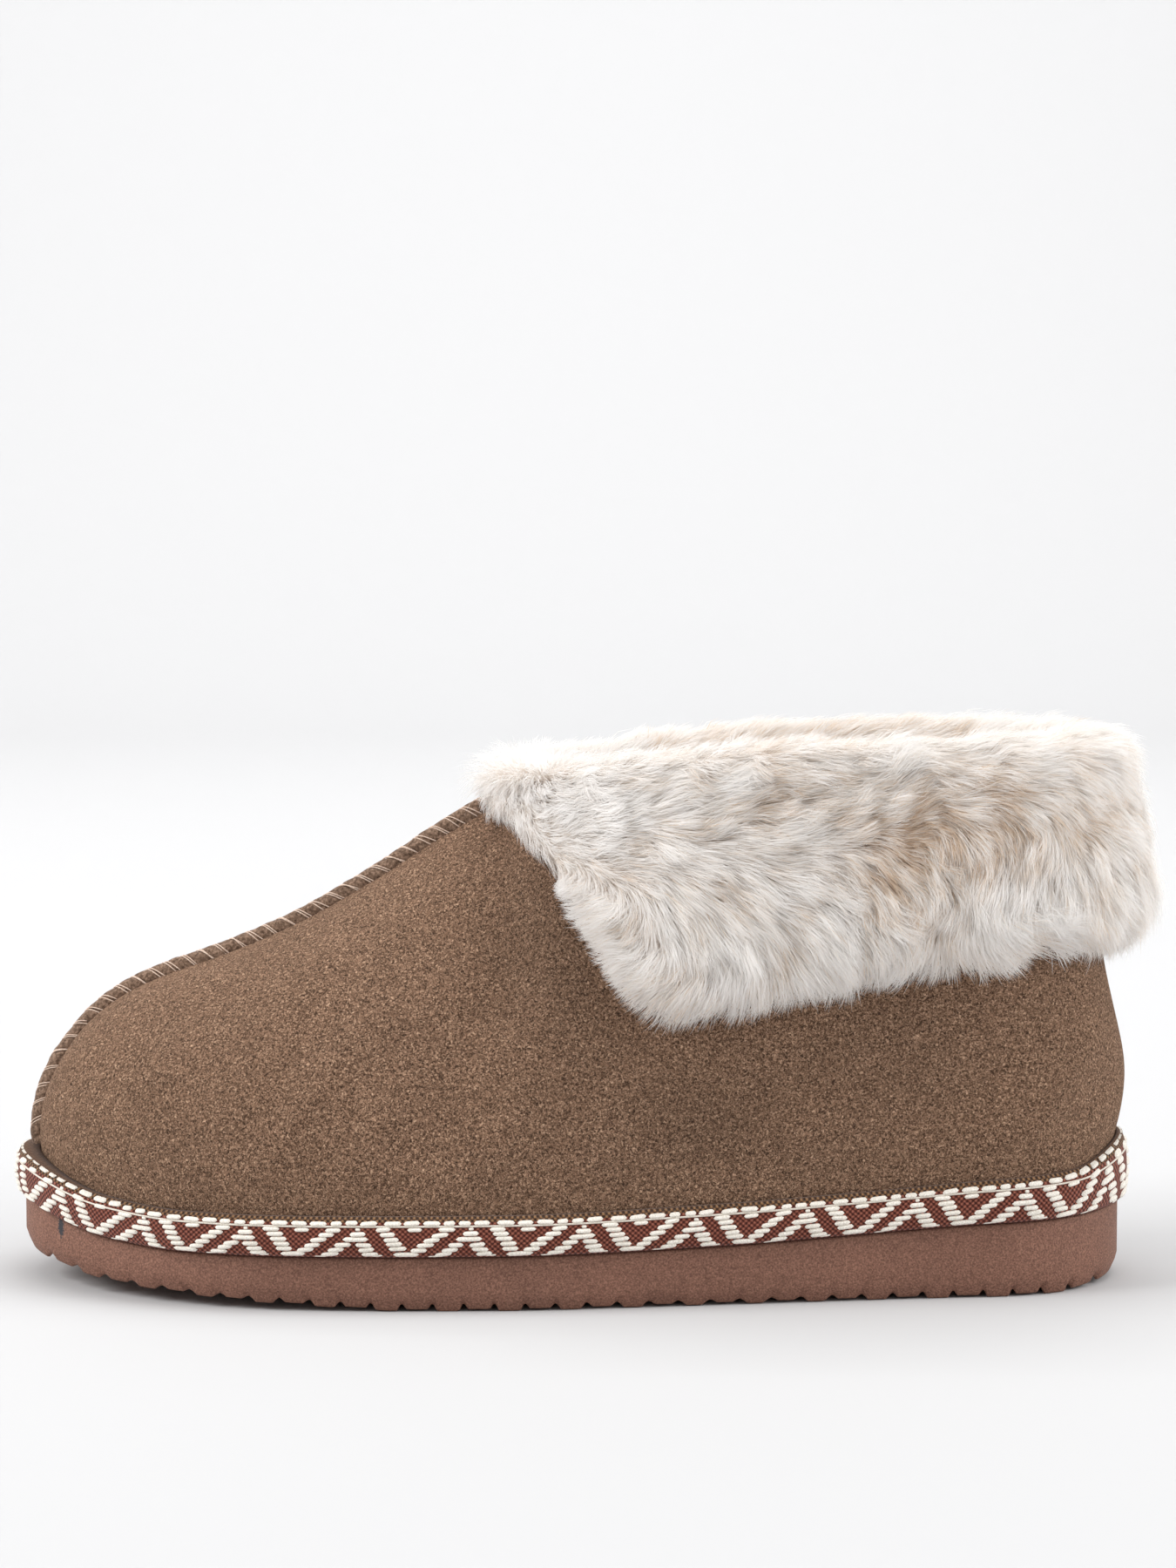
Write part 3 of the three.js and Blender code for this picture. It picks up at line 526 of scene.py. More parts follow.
def upper_piece():
    turns = grid_turn[::2]
    outer_foot = outline(turns, base_inset(turns))
    outer_foot[:, 2] = edge_height(bare_outline(turns)[:, 0]) + GAP
    normal = np.concatenate([outline_normal(turns)[:, None], skin_normal[::2]], 1)
    bare = np.concatenate([outer_foot[:, None], skin[::2]], 1)
    steady = np.clip(np.abs(bare[..., 1]) / 8 - 0.4, 0, 1)
    outer = bare + normal * (steady * (creases(bare) + 0.12 * waves(bare, 26, 31)))[..., None]
    outer[:, 0] = outer_foot
    levels = np.arange(0, outer.shape[1], 5)
    inner = bare[:, levels] - normal[:, levels] * WALL
    inner[:, 0, 2] = outer[:, 0, 2]
    behind = along_of(turns) > THROAT_STATION
    inner[:, -1, 2] = np.where(behind, outer[:, -1, 2], inner[:, -1, 2])
    rows, columns, backs = len(outer), outer.shape[1], len(levels)
    points = np.concatenate([outer.reshape(-1, 3), inner.reshape(-1, 3)])
    start = rows * columns
    faces = [lattice(rows, columns, wrap_rows=True), lattice(rows, backs, wrap_rows=True, start=start)[:, ::-1]]
    row = np.arange(rows)
    after = (row + 1) % rows
    foot = np.stack([start + row * backs, start + after * backs, after * columns, row * columns], -1)
    top = np.stack([row * columns, after * columns, after * backs + start, row * backs + start], -1)
    top += np.array([columns, columns, backs, backs]) - 1
    open_rows = (row >= THROAT_STATION * FINE // 2) & (row < rows - THROAT_STATION * FINE // 2)
    points, faces = welded(points, faces + [foot, top[open_rows]])
    return add_mesh("upper_suede", points, faces, suede_finish())


def welded(points, faces):
    """Joins equal points and leaves out faces that close up."""
    key = np.round(points / 0.002).astype(np.int64)
    _, first, back = np.unique(key, axis=0, return_index=True, return_inverse=True)
    back = back.reshape(-1)
    quads = np.concatenate([back[block] for block in faces])
    distinct = np.array([np.unique(q).size for q in quads])
    threes = []
    for q in quads[distinct == 3]:
        kept = [c for n, c in enumerate(q) if c != q[n - 1]]
        threes.append(kept[:3])
    blocks = [quads[distinct == 4]]
    if threes:
        blocks.append(np.array(threes))
    return points[first], blocks


suede_upper = upper_piece()
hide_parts("upper")


# Outsole: saw-edged tread with rounded teeth, cut straight across.
def saw(x):
    """Broad flat teeth with a small half-round notch between them."""
    tooth = np.floor(x / TOOTH_PITCH)
    place = x - tooth * TOOTH_PITCH
    own = np.sin(tooth * 12.9) * 0.5 + 0.5
    short = np.where(np.mod(tooth, 2) == 0, 0, 0.45 * SHALLOW_TOOTH) + 0.15 * own
    edge = np.minimum(place, TOOTH_PITCH - place)
    share = np.clip(edge / (NOTCH * (0.7 + 0.6 * own)), 0, 1)
    return tread_height(x) + short + (TOOTH_DEPTH - short) * (1 - share**1.5) * (1 - 0.35 * own)


def sole_piece():
    x = np.unique(np.concatenate([np.linspace(0, LENGTH, 521), LENGTH / 2 * (1 - np.cos(np.linspace(0, np.pi, 160)))]))
    along = np.arccos(np.clip(1 - 2 * x / LENGTH, -1, 1)) / np.pi * STATIONS
    turn = np.concatenate([along, RING - along[-2:0:-1]])
    ring_x = bare_outline(turn)[:, 0]
    bottom, top = saw(ring_x), edge_height(ring_x)
    foot = tread_height(ring_x) + SOLE_TUCK_HEIGHT
    levels = [
        (SOLE_TUCK + 0.9, bottom),
        (SOLE_TUCK + 0.25, bottom + 0.12),
        (SOLE_TUCK, bottom + 0.6),
        (0.35 * SOLE_TUCK, lerp(bottom, foot, 0.6)),
        (0, foot),
        (0.0, lerp(foot, top, 0.35)),
        (0.0, lerp(foot, top, 0.7)),
        (0, top - 0.7),
        (0.18, top - 0.18),
        (0.7, top),
        (3, top),
    ]
    rings = []
    for inset, height in levels:
        ring = outline(turn, np.full(len(turn), float(inset)))
        ring[:, 2] = height
        rings.append(ring)
    points = np.stack(rings)
    faces = [lattice(len(levels), len(turn), wrap_columns=True)[:, ::-1]]
    half = len(along)
    near = np.arange(half - 1)
    far = (len(turn) - near) % len(turn)
    far_next = len(turn) - near - 1
    cap = np.stack([near, near + 1, far_next, far], -1)
    top_start = (len(levels) - 1) * len(turn)
    faces += [cap[:, ::-1], cap + top_start]
    points, faces = welded(points.reshape(-1, 3), faces)
    return add_mesh("foam_outsole", points, faces, foam_finish())


sole = sole_piece()
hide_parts("outsole")


# Braid: the tape's ground, and its floats charted below.
tape_turn = np.arange(RING * 8) / 8


def tape_point(turn, up, out):
    """Place on the braid: up is the share of its height, out is in millimetres past its face."""
    turn, up, out = np.broadcast_arrays(np.asarray(turn, float), np.asarray(up, float), np.asarray(out, float))
    x = bare_outline(turn)[..., 0]
    bottom = edge_height(x) + GAP
    point = outline(turn, -(tape_swell(up) * BRAID_STAND + out))
    point[..., 2] = bottom + up * (tape_top(x) - bottom)
    return point


tape_swell = curve([0, 0.05, 0.16, 0.45, 0.78, 0.95, 1], [0.4, 0.72, 0.86, 0.98, 0.82, 0.5, 0.15])


def tape_piece():
    ups = np.linspace(0, 1, 19)
    rows = [tape_point(tape_turn, up, 0) for up in ups]
    top_back, bottom_back = rows[-1].copy(), rows[0].copy()
    inset = base_inset(tape_turn) - GAP
    for ring in (top_back, bottom_back):
        ring[:, :2] = outline(tape_turn, inset)[:, :2]
    rows = np.stack([*rows, top_back, bottom_back], 1)
    way = np.concatenate([[0], np.cumsum(np.linalg.norm(np.diff(rows[:, 9], axis=0), axis=1))])
    uv = np.stack(np.broadcast_arrays(way[:, None], np.append(ups, [1, 0])[None, :]), -1)
    faces = [lattice(len(tape_turn), rows.shape[1], wrap_rows=True, wrap_columns=True)]
    return add_mesh("braid_tape", rows.reshape(-1, 3), faces, tape_finish(), uv.reshape(-1, 2))


tape = tape_piece()
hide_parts("braid")

# The zigzag's cream floats over one repeat, listed: place along the tape and down from
# its upper edge, length and height of the float, and its slant in degrees, all in millimetres.
REPEAT = 25.2
FLOATS = [
    *((along, 1.35, 3.95, 1.22, 2) for along in (1.5, 5.9, 10.3, 21.5)),
    (14.2, 1.35, 2.7, 1.2, 2),
    (17.7, 1.35, 2.8, 1.2, 2),
    (-0.4, 2.7, 3.9, 1.22, 1),
    (0.45, 3.85, 3.9, 1.25, 1),
    (1.2, 5.0, 4.0, 1.25, 1),
    (1.95, 6.2, 4.0, 1.25, 1),
    (2.65, 7.35, 4.0, 1.25, 1),
    (4.6, 8.6, 6.1, 1.3, 1),
    (7.3, 7.6, 4.0, 1.25, 6),
    (8.8, 6.45, 4.0, 1.25, 6),
    (10.35, 5.2, 4.0, 1.25, 6),
    (12.0, 4.05, 3.9, 1.25, 6),
    (13.6, 2.85, 3.9, 1.22, 5),
    (6.4, 2.75, 3.6, 1.1, 2),
    (19.1, 2.7, 1.2, 0.8, 0),
    (18.9, 3.7, 3.8, 1.25, 2),
    (18.5, 5.0, 6.1, 1.3, 2),
    (15.7, 6.4, 4.0, 1.25, 6),
    (14.2, 7.55, 4.0, 1.25, 6),
    (12.7, 8.6, 4.0, 1.2, 6),
    (10.6, 9.15, 2.8, 0.5, 4),
    (20.3, 6.35, 3.9, 1.25, 1),
    (21.0, 7.5, 3.9, 1.25, 1),
    (21.8, 8.55, 3.9, 1.2, 1),
    (23.3, 8.95, 2.6, 0.5, 3),
]
V_AT = 92.2  # where a repeat's V has its foot, on the outer side


def tape_way():
    """How far along the tape each of its turns lies."""
    middle = tape_point(np.append(tape_turn, RING), 0.5, 0)
    return np.concatenate([[0], np.cumsum(np.linalg.norm(np.diff(middle, axis=0), axis=1))])


def float_piece():
    way = tape_way()
    turns = np.append(tape_turn, RING)
    repeats = round(way[-1] / REPEAT)
    pace = way[-1] / repeats
    near = turns <= STATIONS
    start = np.interp(V_AT, bare_outline(turns[near])[:, 0], way[:-1][: near.sum()]) - 4.6 * pace / REPEAT
    along, across = np.meshgrid(np.linspace(-1, 1, 9), np.linspace(-1, 1, 6), indexing="ij")
    taper = np.sqrt(np.clip(1 - along**6, 0, 1))
    dome = np.sqrt(np.clip(1 - across**2, 0, 1)) * np.clip(1 - along**4, 0, 1) ** 0.5
    points, faces = [], []
    for repeat in range(repeats):
        for at, down, length, height, slant in FLOATS:
            tilt = math.radians(slant + rng.normal() * 2)
            grow = 1 + rng.normal() * 0.04
            height = height * 0.94
            flat_x = along * length * grow / 2 - across * taper * height / 2 * math.sin(tilt)
            flat_y = across * taper * height / 2 + along * length / 2 * math.sin(tilt)
            place = start + (repeat + at / REPEAT) * pace + flat_x + rng.normal() * 0.08
            turn = np.interp(np.mod(place, way[-1]), way, turns)
            x = bare_outline(turn)[..., 0]
            tall = tape_top(x) - edge_height(x) - GAP
            ends = np.exp(-((x / 24) ** 2)) + np.exp(-(((LENGTH - x) / 12) ** 2))
            down = down - 1.9 * ends * (1 - down / 9.6)
            up = 1 - (down + rng.normal() * 0.05 - flat_y) / 9.6 - 0.01 * tall / BRAID_WIDTH
            out = 0.66 * height / 1.1 * dome - 0.1
            points.append(tape_point(turn, np.clip(up, 0.01, 0.99), out).reshape(-1, 3))
            faces.append(lattice(9, 6, start=54 * (len(points) - 1))[:, ::-1])
    cream = yarn_finish("tape_float", linear(218, 209, 195), linear(252, 248, 240), 3000)
    piece = add_mesh("braid_floats", np.concatenate(points), faces, cream)
    return piece


def tube(centre, across, upright, half_wide, half_high, sides=6, closed=False):
    """Points and faces of a thin thread along a line."""
    around = np.arange(sides) / sides * 2 * math.pi
    rows = (
        centre[:, None]
        + across[:, None] * (np.cos(around) * half_wide)[None, :, None]
        + upright[:, None] * (np.sin(around) * half_high)[None, :, None]
    )
    return rows.reshape(-1, 3), lattice(len(centre), sides, wrap_rows=closed, wrap_columns=True)


def cream_line():
    turn = np.arange(RING * 10) / 10
    centre = tape_point(turn, 1 - 2.1 / 9.6, 0.08)
    upright = outline_normal(turn)
    points, faces = tube(centre, np.tile([0, 0, 1.0], (len(turn), 1)), upright, 0.22, 0.22, closed=True)
    cream = yarn_finish("tape_line", linear(206, 195, 180), linear(240, 233, 222), 3000)
    add_mesh("braid_line", points, [faces], cream)


float_piece()
cream_line()


# Raised seam over toe and instep.
def seam_path():
    front = section_points(np.zeros(40), np.linspace(0, 1, 40))
    crest_turn = np.linspace(0, THROAT_STATION, 120)
    crest = section_points(crest_turn, np.ones(120))
    path = np.concatenate([front, crest[1:]])
    front_normal = sample(skin_normal, np.zeros(40), np.linspace(0, 1, 40))
    crest_up = sample(skin_normal, crest_turn, np.ones(120))
    crest_up[..., 1] = 0
    front_normal[..., 1] = 0
    normals = np.concatenate([front_normal, crest_up[1:]])
    way = np.concatenate([[0], np.cumsum(np.linalg.norm(np.diff(path, axis=0), axis=1))])
    return path, unit(normals), way


STITCH_PITCH = 4.2
STITCH_SLANT = 1.7  # how far a stitch runs on while it crosses the roll, per radian


def seam_frame(s):
    """Centre, across and upright of the seam at distances along it."""
    path, normals, way = seam_path()
    fine = np.linspace(0, way[-1], 500)
    centre = np.stack([np.interp(fine, way, path[:, k]) for k in range(3)], -1)
    normal = unit(np.stack([np.interp(fine, way, normals[:, k]) for k in range(3)], -1))
    tangent = unit(np.gradient(centre, axis=0))
    across = unit(np.cross(tangent, normal))
    upright = np.cross(across, tangent)

    def at(table):
        return np.stack([np.interp(s, fine, table[:, k]) for k in range(3)], -1)

    return at(centre), unit(at(across)), unit(at(upright)), way[-1]


def seam_point(s, angle, out):
    """Place on the roll: angle 0 at its outer foot, pi at the inner one."""
    centre, across, upright, _ = seam_frame(s.ravel())
    wide, high = SEAM_WIDTH / 2 + out, SEAM_HEIGHT - 0.3 + out
    flat = np.cos(angle) * wide, np.sin(angle) * high
    shape = (*s.shape, 3)
    return centre.reshape(shape) + across.reshape(shape) * flat[0][..., None] + upright.reshape(shape) * flat[1][..., None]


def seam_piece():
    length = seam_frame(np.zeros(1))[3]
    s, angle = np.meshgrid(np.linspace(0, length, 640), np.linspace(-0.3, math.pi + 0.3, 21), indexing="ij")
    phase = (s + STITCH_SLANT * (angle - math.pi / 2)) / STITCH_PITCH
    nearest = np.abs(phase - np.round(phase)) * STITCH_PITCH
    groove = np.exp(-((nearest / 0.55) ** 2))
    unrest = 0.1 * waves(np.stack([s, angle * 2], -1), 5, 41)
    points = seam_point(s, angle, 0.12 - 0.38 * groove + unrest)
    faces = [lattice(*s.shape)]
    rolled = rolled_finish()
    return add_mesh("seam_roll", points.reshape(-1, 3), faces, rolled)


def rolled_finish():
    make = Finish("rolled_suede", Roughness=0.95, Sheen_Weight=0.15)
    make.shader.inputs["Specular IOR Level"].default_value = 0.12
    grain = make.noise(1500, 3, 0.65)
    color = make.ramp(grain, [(0.35, linear(88, 68, 55)), (0.5, linear(122, 98, 81)), (0.66, linear(160, 132, 112))])
    return make.wire(Base_Color=color, Normal=make.bump(grain, 0.0005, 0.9))


seam = seam_piece()
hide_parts("ridge_seam")


def stitch_piece():
    """Slanted double threads over the roll."""
    length = seam_frame(np.zeros(1))[3]
    points, faces, start = [], [], 0
    for stitch in range(1, int(length / STITCH_PITCH)):
        for side in (-0.26, 0.3):
            angle = np.linspace(-0.25, math.pi + 0.25, 15)
            lean = STITCH_SLANT * (1 + rng.normal() * 0.13)
            s = stitch * STITCH_PITCH + side + rng.normal() * 0.1 - lean * (angle - math.pi / 2)
            s = np.clip(s, 0, length - 0.2)
            centre = seam_point(s, angle, 0.02)
            tangent = unit(np.gradient(centre, axis=0))
            upright = unit(seam_point(s, angle, 1.0) - seam_point(s, angle, 0.0))
            across = unit(np.cross(tangent, upright))
            tube_points, tube_faces = tube(centre, across, upright, 0.14, 0.16)
            points.append(tube_points)
            faces.append(tube_faces + start)
            start += len(tube_points)
    thread = yarn_finish("thread", linear(190, 158, 138), linear(238, 218, 200), 3600)
    add_mesh("whip_stitches", np.concatenate(points), faces, thread)


stitch_piece()


# Insole: a soft pile pad on the outsole.
def insole_piece():
    turn = np.arange(RING * 4) / 4
    x = bare_outline(turn)[:, 0]
    floor = edge_height(x) + GAP
    inset = base_inset(turn) + WALL + GAP
    levels = [(0, 0), (0, 0.5), (0.4, 0.8), (1.6, 1.0), (6, 1.02), (14, 1.02)]
    rings = []
    for more, up in levels:
        half = np.abs(bare_outline(turn)[:, 1] - plan_middle(x / LENGTH) * BALL_WIDTH)
        ring = outline(turn, np.minimum(inset + more, np.maximum(half * 0.9, inset)))
        ring[:, 2] = floor + up * INSOLE_THICKNESS
        rings.append(ring)
    points = np.stack(rings)
    n = len(turn)
    faces = [lattice(len(levels), n, wrap_columns=True)[:, ::-1]]
    near = np.arange(n // 2)
    far = (n - near) % n
    cap = np.stack([near, near + 1, n - near - 1, far], -1)
    faces += [cap[:, ::-1], cap + (len(levels) - 1) * n]
    points, faces = welded(points.reshape(-1, 3), faces)
    return add_mesh("insole_pile", points, faces, pile_finish("pile_lining", linear(186, 168, 150), linear(246, 239, 231)))


def lining_piece():
    """Pile on the inside of the upper, from the footbed to the cuff's inner turn."""
    turn = np.arange(RING * 2) / 2
    free = share_below_rim(turn, 0.85 * INSIDE_DROP)
    top = np.where(along_of(turn) > THROAT_STATION + 1, free, 1.0)
    rows = [on_upper(turn, top * level, -WALL - 0.9 + 0 * turn) for level in np.linspace(0, 1, 14)]
    foot = outline(turn, base_inset(turn) + WALL + 0.15)
    foot[:, 2] = edge_height(bare_outline(turn)[:, 0]) + 0.5 * INSOLE_THICKNESS
    points = np.stack([foot, *rows], 1)
    points[:, 1:-1] += (0.5 * waves(points[:, 1:-1], 9, 51))[..., None] * outline_normal(turn)[:, None]
    faces = [lattice(len(turn), points.shape[1], wrap_rows=True)[:, ::-1]]
    lining = add_mesh("lining", points, faces, insole.data.materials[0])


insole = insole_piece()
lining_piece()
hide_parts("insole")


# Cuff: the skin under the pile, from the hem over the rim to the inner turn.
PILE_UP = curve([0, 0.125, 0.3, 0.6, 0.85, 1], [0.26, 0.42, 0.47, 0.49, 0.46, 0.4])
HEM_SHORT = 7
cuff_turn = np.linspace(THROAT_STATION, RING - THROAT_STATION, 380)


def cuff_sections(turn):
    """Points of the under-fur, one row per turn, from hem to inner turn, and how far along each is."""
    share = opening_share(along_of(turn))
    depth = collar_pile(share) * FUR_DEPTH
    length = collar_drop(share) * CUFF_DROP
    hem = share_below_rim(turn, np.maximum(length - HEM_SHORT, 0.35 * length))
    rim = on_upper(turn, np.ones(len(turn)), np.zeros(len(turn)))
    away = on_upper(turn, np.ones(len(turn)), np.ones(len(turn))) - rim
    away[:, 2] = 0
    away = unit(away)
    upward = np.array([0, 0, 1])
    crest = 2.6 * np.exp(-((share / 0.09) ** 2))
    rows = [on_upper(turn, hem, np.full(len(turn), 0.5))]
    for level in np.linspace(0, 1, 13):
        rows.append(on_upper(turn, hem + (1 - hem) * level, depth * PILE_UP(level)))
    for out, up in ((0.3, 0.28), (0.12, 0.42), (-0.2, 0.45), (-0.5, 0.3)):
        rows.append(rim + away * (out * depth)[:, None] + upward * (up * FUR_CREST + crest)[:, None])
    for down, thick in ((0, 0.6), (0.35, 0.6), (0.7, 0.5), (1, 0.15)):
        rows.append(on_upper(turn, share_below_rim(turn, down * INSIDE_DROP), np.full(len(turn), -WALL - thick * PILE_INSIDE)))
    return np.stack(rows, 1)


base = cuff_sections(cuff_turn)


def base_piece():
    points = base + 0
    faces = [lattice(*base.shape[:2])]
    finish = pile_finish("fur_skin", linear(222, 209, 196), linear(246, 240, 233))
    return add_mesh("cuff_skin", points.reshape(-1, 3), faces, finish)


cuff_skin = base_piece()
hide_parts("cuff")


# Fur
base_normal = np.cross(np.gradient(base, axis=0), np.gradient(base, axis=1))
base_normal = unit(base_normal)
base_down = unit(-np.gradient(base, axis=1))
base_back = unit(np.gradient(base, axis=0))


def read(table, i, j, fi, fj):
    fi, fj = fi[:, None], fj[:, None]
    return (table[i, j] * (1 - fi) + table[i + 1, j] * fi) * (1 - fj) + (
        table[i, j + 1] * (1 - fi) + table[i + 1, j + 1] * fi
    ) * fj


def roots(count, first, last, turns):
    """Roots spread evenly over rows first..last of the under-fur and over a stretch of turns."""
    low = np.searchsorted(cuff_turn, turns[0])
    high = min(np.searchsorted(cuff_turn, turns[1]), len(cuff_turn) - 1)
    block = base[low : high + 1, first : last + 1]
    sides = np.linalg.norm(np.cross(np.diff(block, axis=0)[:, :-1], np.diff(block, axis=1)[:-1]), axis=-1)
    chance = sides.ravel() / sides.sum()
    cell = rng.choice(chance.size, size=count, p=chance)
    i, j = np.unravel_index(cell, sides.shape)
    return i + low, j + first, rng.random(count), rng.random(count)


# How the pile lies on the outer flap: place behind the toe tip, height, and the way the hairs
# point in degrees, 0 to the heel and 90 down. The inner flap is its mirror image.
COMBED = [
    (107, 121, 110), (111, 117, 92), (114, 122, 50), (119, 125, 25), (126, 124, 14), (138, 123, 18), (150, 124, 20), (161, 125, 26),
    (173, 125, 30), (184, 126, 32), (196, 126, 22), (208, 126, 18), (219, 126, 10), (231, 125, 14), (243, 125, 45),
    (253, 124, 55), (119, 117, 42), (117, 111, 70), (124, 112, 30), (130, 117, 10), (142, 117, 8), (154, 116, 2), (165, 116, -5), (177, 116, -2),
    (188, 116, -6), (196, 116, -22), (204, 116, -35), (212, 115, -30), (219, 117, 5), (228, 118, 12), (235, 117, 30),
    (245, 116, 25), (253, 116, 50), (130, 110, 10), (142, 110, 0), (154, 110, -10), (165, 110, -12), (177, 110, -6),
    (188, 110, -14), (196, 110, -25), (204, 109, -42), (212, 109, 70), (219, 110, 77), (228, 110, 100), (235, 110, 112),
    (245, 109, 40), (253, 109, 50), (127, 105, 15), (138, 104, 20), (150, 104, 28), (161, 105, 0), (173, 105, -5),
    (185, 104, 8), (196, 104, 45), (204, 103, 60), (212, 103, 80), (220, 104, 99), (228, 104, 110), (236, 104, 108),
    (245, 103, 115), (253, 102, 80), (110, 110, 122), (114, 105, 128), (119, 100, 134), (124, 95, 138), (128, 91, 145), (129, 83, 155),
    (134, 77, 150), (138, 71, 150), (146, 67, 150), (142, 99, 22), (150, 98, 40), (161, 98, 42), (171, 98, 45),
    (181, 98, 34), (190, 98, 60), (198, 97, 66), (206, 97, 50), (214, 98, 80), (222, 98, 102), (230, 98, 122),
    (238, 98, 108), (246, 97, 95), (254, 97, 85), (134, 92, 175), (142, 92, 184), (142, 85, 175), (134, 85, 165),
    (150, 81, 173), (142, 78, 163), (150, 73, 157), (151, 90, 42), (158, 90, 65), (165, 90, 50), (173, 92, 65),
    (181, 90, 30), (188, 90, 65), (196, 90, 78), (204, 91, 40), (212, 91, 128), (217, 92, 128), (158, 84, 87),
    (165, 83, 110), (173, 84, 60), (181, 84, 35), (188, 84, 67), (196, 84, 88), (204, 84, 126), (212, 84, 122),
    (220, 83, 50), (225, 88, -10), (231, 86, 0), (239, 88, 20), (246, 88, 50), (254, 88, 80), (158, 78, 105),
    (165, 77, 138), (173, 78, 120), (181, 78, 120), (190, 78, 100), (198, 78, 108), (206, 78, 120), (213, 78, 98),
    (220, 78, 72), (228, 80, 70), (236, 80, 65), (244, 80, 62), (252, 80, 80), (158, 71, 119), (165, 71, 135),
    (173, 72, 108), (181, 71, 107), (190, 71, 130), (198, 73, 112), (206, 74, 118), (214, 75, 100), (222, 76, 88),
    (262, 110, 85), (264, 95, 88),
]  # fmt: skip
# Where the pile parts: place, height, reach and strength. The hairs there are shorter and stand up more, and their tone
# turns tan, partly the tan roots that show and partly painted shade in the grooves.
PARTINGS_AND_SHADE = [
    (214, 109, 9, 1.3), (200, 103, 7, 1.1), (226, 113, 6, 0.7), (243, 111, 6, 0.7), (178, 109, 12, 0.35),
    (138, 101, 5, 0.5), (126, 119, 6, 0.4), (150, 124, 8, 0.3), (190, 121, 7, 0.35), (206, 88, 6, 0.6),
    (186, 96, 5, 0.4), (158, 95, 6, 0.3), (171, 117, 6, 0.35), (246, 93, 6, 0.4), (160, 110, 7, 0.3),
]  # fmt: skip


# Where it is clipped shorter or left longer: place, height, reach and the share it loses.
CLIPPED = [
    (107, 118, 9, 0.42), (115, 106, 8, 0.4), (122, 96, 8, 0.42), (129, 86, 8, 0.42), (135, 76, 8, 0.42),
    (141, 68, 6, 0.3), (266, 92, 14, -0.36),
]  # fmt: skip
CREST_CLIPS = [(110, 120, 10, -0.12)]


def combed(x, z):
    """The lie of the pile as a unit vector (to the heel, down)."""
    table = np.array(COMBED, float)
    flow = np.zeros((len(x), 2))
    for place, height, degrees in table:
        near = np.exp(-((x - place) ** 2 + (z - height) ** 2) / (2 * 4.2**2)) + 1e-9
        flow += near[:, None] * np.array([math.cos(math.radians(degrees)), math.sin(math.radians(degrees))])
    return np.arctan2(flow[:, 1], flow[:, 0])


def spots(table, x, z):
    total = np.zeros(len(x))
    for place, height, reach, strength in table:
        total += strength * np.exp(-((x - place) ** 2 + (z - height) ** 2) / (2 * reach**2))
    return np.clip(total, -1, 1)


def nearest_lock(at, spacing, seed):
    """Gathers points on the pile into irregular locks of about the given size."""
    scatter = np.random.default_rng(seed)
    low = at.min(0) - spacing
    cells = np.ceil((at.max(0) - low) / spacing).astype(int) + 2
    centres = (np.stack(np.meshgrid(*[np.arange(c) for c in cells], indexing="ij"), -1) + 0.5) * spacing
    centres = centres + low + scatter.uniform(-0.45, 0.45, centres.shape) * spacing
    home = np.floor((at - low) / spacing).astype(int)
    best, owner = np.full(len(at), 1e9), np.zeros(len(at), int)
    for di in (-1, 0, 1):
        for dj in (-1, 0, 1):
            i = np.clip(home[:, 0] + di, 0, cells[0] - 1)
            j = np.clip(home[:, 1] + dj, 0, cells[1] - 1)
            away = ((centres[i, j] - at) ** 2).sum(1)
            closer = away < best
            best = np.where(closer, away, best)
            owner = np.where(closer, i * cells[1] + j, owner)
    return np.unique(owner, return_inverse=True)[1].reshape(-1)


row_way = np.concatenate([np.zeros((len(base), 1)), np.cumsum(np.linalg.norm(np.diff(base, axis=1), axis=2), axis=1)], 1)
turn_way = np.concatenate([[0], np.cumsum(np.linalg.norm(np.diff(base[:, 9], axis=0), axis=1))])


def drawn(line, lock, pull):
    """Draws the hairs of each lock together towards their tips."""
    amount = lock.max() + 1
    members = np.bincount(lock, minlength=amount)
    for k, share in enumerate(pull, start=1):
        centre = np.stack([np.bincount(lock, line[:, k, a], amount) / members for a in range(3)], -1)
        line[:, k] += (centre[lock] - line[:, k]) * share


